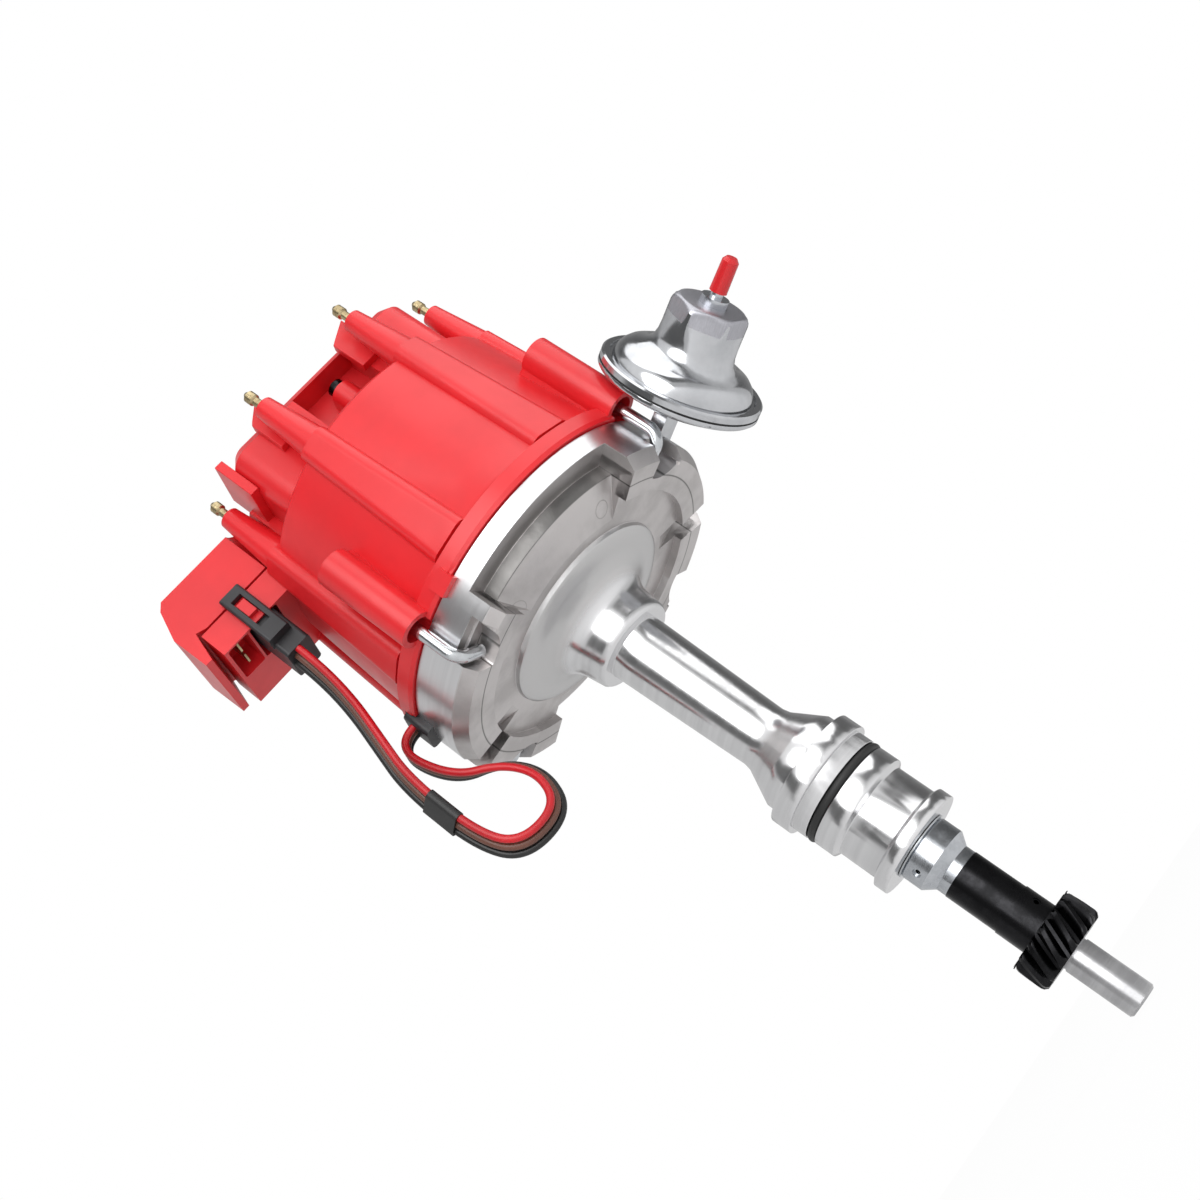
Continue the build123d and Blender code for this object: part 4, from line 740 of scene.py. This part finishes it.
def build_gear():
    """The drive gear: the node's own hub, and helical teeth spun up the shaft."""
    solid = nodes["drive_gear"].data
    bottom = min(vert.co.z for vert in solid.vertices) / MM
    gear = bmesh.new()
    gear.from_mesh(solid)
    bmesh.ops.remove_doubles(gear, verts=gear.verts, dist=MERGE_GAP)
    bmesh.ops.bisect_plane(gear, geom=gear.verts[:] + gear.edges[:] + gear.faces[:], dist=CUT_GAP,
                           plane_co=(0, 0, (bottom + GEAR_HEIGHT - HUB_SUNK) * MM),
                           plane_no=(0, 0, 1), clear_inner=True)
    around = [(radius, math.radians(2 * tooth * TOOTH_HALF + share * TOOTH_HALF))
              for tooth in range(GEAR_TEETH) for radius, share in TOOTH_SHAPE]
    loops = []
    for bore in (False, True):
        points = []
        for radius, angle in around:
            reach = GEAR_BORE if bore else radius
            corner = (reach * math.cos(angle) * MM, reach * math.sin(angle) * MM, bottom * MM)
            points.append(gear.verts.new(corner))
        loops += [gear.edges.new(pair) for pair in zip(points, points[1:] + points[:1])]
    base = bmesh.ops.bridge_loops(gear, edges=loops)["faces"]
    base_edges = list(dict.fromkeys(edge for face in base for edge in face.edges))
    base_verts = list(dict.fromkeys(vert for face in base for vert in face.verts))
    hub_faces = set(gear.faces) - set(base)
    bmesh.ops.spin(gear, geom=base_verts + base_edges + base, cent=(0, 0, 0), axis=(0, 0, 1),
                   dvec=(0, 0, GEAR_HEIGHT / GEAR_STEPS * MM), angle=math.radians(GEAR_LEAN),
                   steps=GEAR_STEPS, use_merge=False, use_duplicate=False)
    tooth_faces = [face for face in gear.faces if face not in hub_faces]
    bmesh.ops.recalc_face_normals(gear, faces=tooth_faces)
    for vert in {vert for face in tooth_faces for vert in face.verts}:
        radius = math.hypot(vert.co.x, vert.co.y) / MM
        above = vert.co.z / MM - bottom
        limit = GEAR_TIP - GEAR_CHAMFER + min(above, GEAR_HEIGHT - above)
        if radius > limit:
            vert.co.xy = vert.co.xy * (limit / radius)
    finish_piece(gear, "helical_gear", black_oxide, "shaft", "drive_gear")


COVER_SIDE = 46.0
CROWN = 241.0
FIN_OUT = 3.5
FIN_THICK = 3.9
FIN_TOP = 245.0
FIN_ROOT = CROWN - 18
# Along X: the upright edge with the peak, the outer edge, and where its slope ends
SIDE_FINS = ((24.5, 14.0, 16.5), (-23.0, -30.0, -28.5))
# Along Y: the upright edge with the peak, and the outer edge
END_FIN = (-16, -42)


def add_plate(work, outline, through):
    """Adds a plate: an outline of points, and the way through its thickness."""
    face = work.faces.new([work.verts.new(Vector(point) * MM) for point in outline])
    grown = bmesh.ops.extrude_face_region(work, geom=[face])["geom"]
    bmesh.ops.translate(work, verts=[v for v in grown if isinstance(v, bmesh.types.BMVert)],
                        vec=Vector(through) * MM)


def build_fins():
    """Fins between the cover and the towers."""
    fins = bmesh.new()
    for side in (1, -1):
        outer = side * (COVER_SIDE + FIN_OUT)
        for peak, edge, slope in SIDE_FINS:
            add_plate(fins, [(peak, outer, FIN_ROOT), (peak, outer, FIN_TOP),
                             (slope, outer, CROWN - 0.5), (edge, outer, CROWN - 2),
                             (edge, outer, FIN_ROOT)], (0, -side * FIN_THICK, 0))
    outer = -COVER_SIDE - FIN_OUT
    peak, edge = END_FIN
    add_plate(fins, [(outer, peak, FIN_ROOT), (outer, peak, FIN_TOP), (outer, edge, CROWN + 2),
                     (outer, edge, FIN_ROOT)], (FIN_THICK, 0, 0))
    bmesh.ops.recalc_face_normals(fins, faces=fins.faces)
    return finish_piece(fins, "cover_fins", red_plastic, "housing")


build_bowl_ring()
build_canister_front()
build_gear()
fin_piece = build_fins()


# Soft edges: modifiers round the sharp edges of the pieces and of some nodes

SOFT_EDGES = (
    (cap_piece, 0.6),
    (cover_piece, 0.7),
    (fin_piece, 0.4),
    (nodes["housing"], 0.35),
    (nodes["harness_plug"], 0.3),
    (nodes["harness_grommet"], 0.5),
    (nodes["canister_base"], 0.3),
    (collar_piece, 0.25),
    (nodes["cover_screws"], 0.25),
)
ROUNDED_FROM = math.radians(35)
for obj, width in SOFT_EDGES:
    join = obj.modifiers.new("join", "WELD")
    join.merge_threshold = MERGE_GAP
    rounding = obj.modifiers.new("rounding", "BEVEL")
    rounding.width = width * MM
    rounding.segments = 2
    rounding.limit_method = "ANGLE"
    rounding.angle_limit = ROUNDED_FROM
    rounding.harden_normals = True


# Harness wires: from the plug down, round a loop and up to the grommet

WIRE_RADIUS = 1.5
WIRE_STEP = 3.3
WIRE_TUCK = 1.6
FLAT_FROM = 10
WIRE_ROUTE = (
    (-81, -15, 178),
    (-81, -15, 166),
    (-83.5, -15, 147),
    (-88, -14, 130),
    (-92.7, -12.8, 112),
    (-92.7, -12, 80),
    (-86, -12, 64),
    (-66, -11, 63),
    (-59.5, -8.5, 78),
    (-65, -6, 93),
    (-80, -3, 104),
    (-84.8, 0, 129.5),
    (-74, 0, 129.5),
)


def wire_points(lane):
    """Route of one wire beside the middle one, as the CAD routes it, in metres."""
    sides = [Vector((start[2] - end[2], 0, end[0] - start[0])).normalized()
             for start, end in zip(WIRE_ROUTE, WIRE_ROUTE[1:])]
    sides = [sides[0]] + sides + [sides[-1]]
    points = []
    for index, point in enumerate(WIRE_ROUTE):
        one, two = sides[index], sides[index + 1]
        mitre = (one + two) / (1 + one.dot(two))
        tuck = WIRE_TUCK if index < FLAT_FROM else 0
        beside = Vector((0, lane * WIRE_STEP, 0))
        points.append((Vector(point) - beside + mitre * (lane * tuck)) * MM)
    return points


def lay_wire(name, lane, material):
    """One wire as a round curve along its route."""
    curve = bpy.data.curves.new(name, "CURVE")
    curve.dimensions = "3D"
    spline = curve.splines.new("NURBS")
    points = wire_points(lane)
    spline.points.add(len(points) - 1)
    for control, point in zip(spline.points, points):
        control.co = (*point, 1)
    spline.order_u = 3
    spline.use_endpoint_u = True
    spline.resolution_u = 12
    curve.bevel_depth = WIRE_RADIUS * MM
    curve.bevel_resolution = 4
    curve.use_fill_caps = True
    wire = bpy.data.objects.new(name, curve)
    scene.collection.objects.link(wire)
    dress(wire, material)
    return wire, points[0]


WIRES = (
    ("red_wire", "wire_red", 1, red_insulation, 0.207),
    ("brown_wire", "wire_brown", 0, brown_insulation, 0.213),
    ("black_wire", "wire_black", -1, black_insulation, 0.219),
)
for name, node, lane, material, length in WIRES:
    wire, first = lay_wire(name, lane, material)
    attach(wire, "housing")
    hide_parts(node)


# Studio: white ground and backdrop, soft light near the camera

FLOOR_HALF = 30
FLOOR_BELOW = 0.001
FLOOR_SEEN_WHITE = 0.97
FLOOR_MIRRORED_WHITE = 0.3

floor_mesh = bpy.data.meshes.new("floor")
sheet = bmesh.new()
bmesh.ops.create_grid(sheet, x_segments=1, y_segments=1, size=FLOOR_HALF)
bmesh.ops.translate(sheet, verts=sheet.verts, vec=(0, 0, cad_box[0][2] - FLOOR_BELOW))
sheet.to_mesh(floor_mesh)
sheet.free()
floor = bpy.data.objects.new("floor", floor_mesh)
scene.collection.objects.link(floor)
white_ground = bpy.data.materials.new("white_ground")
white_ground.use_nodes = True
tree = white_ground.node_tree
shader = tree.nodes["Principled BSDF"]
shader.inputs["Base Color"].default_value = (0.82, 0.82, 0.82, 1)
shader.inputs["Roughness"].default_value = 0.9
glow = tree.nodes.new("ShaderNodeEmission")
ray = tree.nodes.new("ShaderNodeLightPath")
seen = calc(tree, "MAXIMUM", ray.outputs["Is Camera Ray"], ray.outputs["Is Transmission Ray"])
seen = calc(tree, "MAXIMUM", calc(tree, "MULTIPLY", seen, FLOOR_SEEN_WHITE),
            calc(tree, "MULTIPLY", ray.outputs["Is Glossy Ray"], FLOOR_MIRRORED_WHITE))
ground_mix = tree.nodes.new("ShaderNodeMixShader")
tree.links.new(seen, ground_mix.inputs[0])
tree.links.new(shader.outputs[0], ground_mix.inputs[1])
tree.links.new(glow.outputs[0], ground_mix.inputs[2])
tree.links.new(ground_mix.outputs[0], tree.nodes["Material Output"].inputs["Surface"])
dress(floor, white_ground)

world = bpy.data.worlds.new("studio")
world.use_nodes = True
scene.world = world
tree = world.node_tree
tree.nodes.clear()
ray = tree.nodes.new("ShaderNodeLightPath")
seen = calc(tree, "MAXIMUM", ray.outputs["Is Camera Ray"], ray.outputs["Is Transmission Ray"])
AMBIENT = 0.55
soft = tree.nodes.new("ShaderNodeBackground")
soft.inputs["Color"].default_value = (AMBIENT, AMBIENT, AMBIENT, 1)
bright = tree.nodes.new("ShaderNodeBackground")
bright.inputs["Color"].default_value = (1, 1, 1, 1)
# Polished metal sees the white room with soft dark flags standing on two sides of it
around = tree.nodes.new("ShaderNodeSeparateXYZ")
tree.links.new(tree.nodes.new("ShaderNodeTexCoord").outputs["Generated"], around.inputs[0])
minus_y = calc(tree, "MULTIPLY", around.outputs["Y"], -1)
bearing = calc(tree, "ARCTAN2", around.outputs["X"], minus_y)
flags = tree.nodes.new("ShaderNodeValToRGB")
flags.color_ramp.interpolation = "EASE"
# Bearing in degrees and brightness
FLAGS = ((-180, 0.62), (-80, 0.66), (-72, 0.14), (-48, 0.12), (-40, 1.0), (16, 1.0), (28, 0.2),
         (95, 0.12), (150, 0.3), (180, 0.62))
stops = flags.color_ramp.elements
for degrees, level in FLAGS[1:-1]:
    stops.new((degrees + 180) / 360)
for stop, (degrees, level) in zip(stops, FLAGS):
    stop.position = (degrees + 180) / 360
    stop.color = (level, level, level, 1)
tree.links.new(value_range(tree, bearing, -math.pi, math.pi, 0, 1), flags.inputs["Fac"])
mirrored = tree.nodes.new("ShaderNodeBackground")
tree.links.new(flags.outputs["Color"], mirrored.inputs["Color"])
reflect = tree.nodes.new("ShaderNodeMixShader")
tree.links.new(ray.outputs["Is Glossy Ray"], reflect.inputs[0])
tree.links.new(soft.outputs[0], reflect.inputs[1])
tree.links.new(mirrored.outputs[0], reflect.inputs[2])
switch = tree.nodes.new("ShaderNodeMixShader")
tree.links.new(seen, switch.inputs[0])
tree.links.new(reflect.outputs[0], switch.inputs[1])
tree.links.new(bright.outputs[0], switch.inputs[2])
world_out = tree.nodes.new("ShaderNodeOutputWorld")
tree.links.new(switch.outputs[0], world_out.inputs["Surface"])

MIDDLE = Vector((-0.01, -0.01, 0.08))


def soft_light(name, across, above, towards, size, power):
    """A round lamp, placed by the camera's right, up and back, and aimed at the middle."""
    data = bpy.data.lights.new(name, "AREA")
    data.shape = "DISK"
    data.size = size
    data.energy = power
    light = bpy.data.objects.new(name, data)
    light.location = MIDDLE + RIGHT * across + UP * above + BACK * towards
    light.rotation_mode = "QUATERNION"
    light.rotation_quaternion = (MIDDLE - light.location).to_track_quat("-Z", "Y")
    scene.collection.objects.link(light)


soft_light("key_light", -0.45, 0.4, 1.0, 1.2, 10)
soft_light("fill_light", 0.8, -0.2, 0.8, 1.2, 4)
soft_light("top_light", -0.1, 1.1, 0.0, 1.2, 6)
scene.view_settings.view_transform = "Standard"
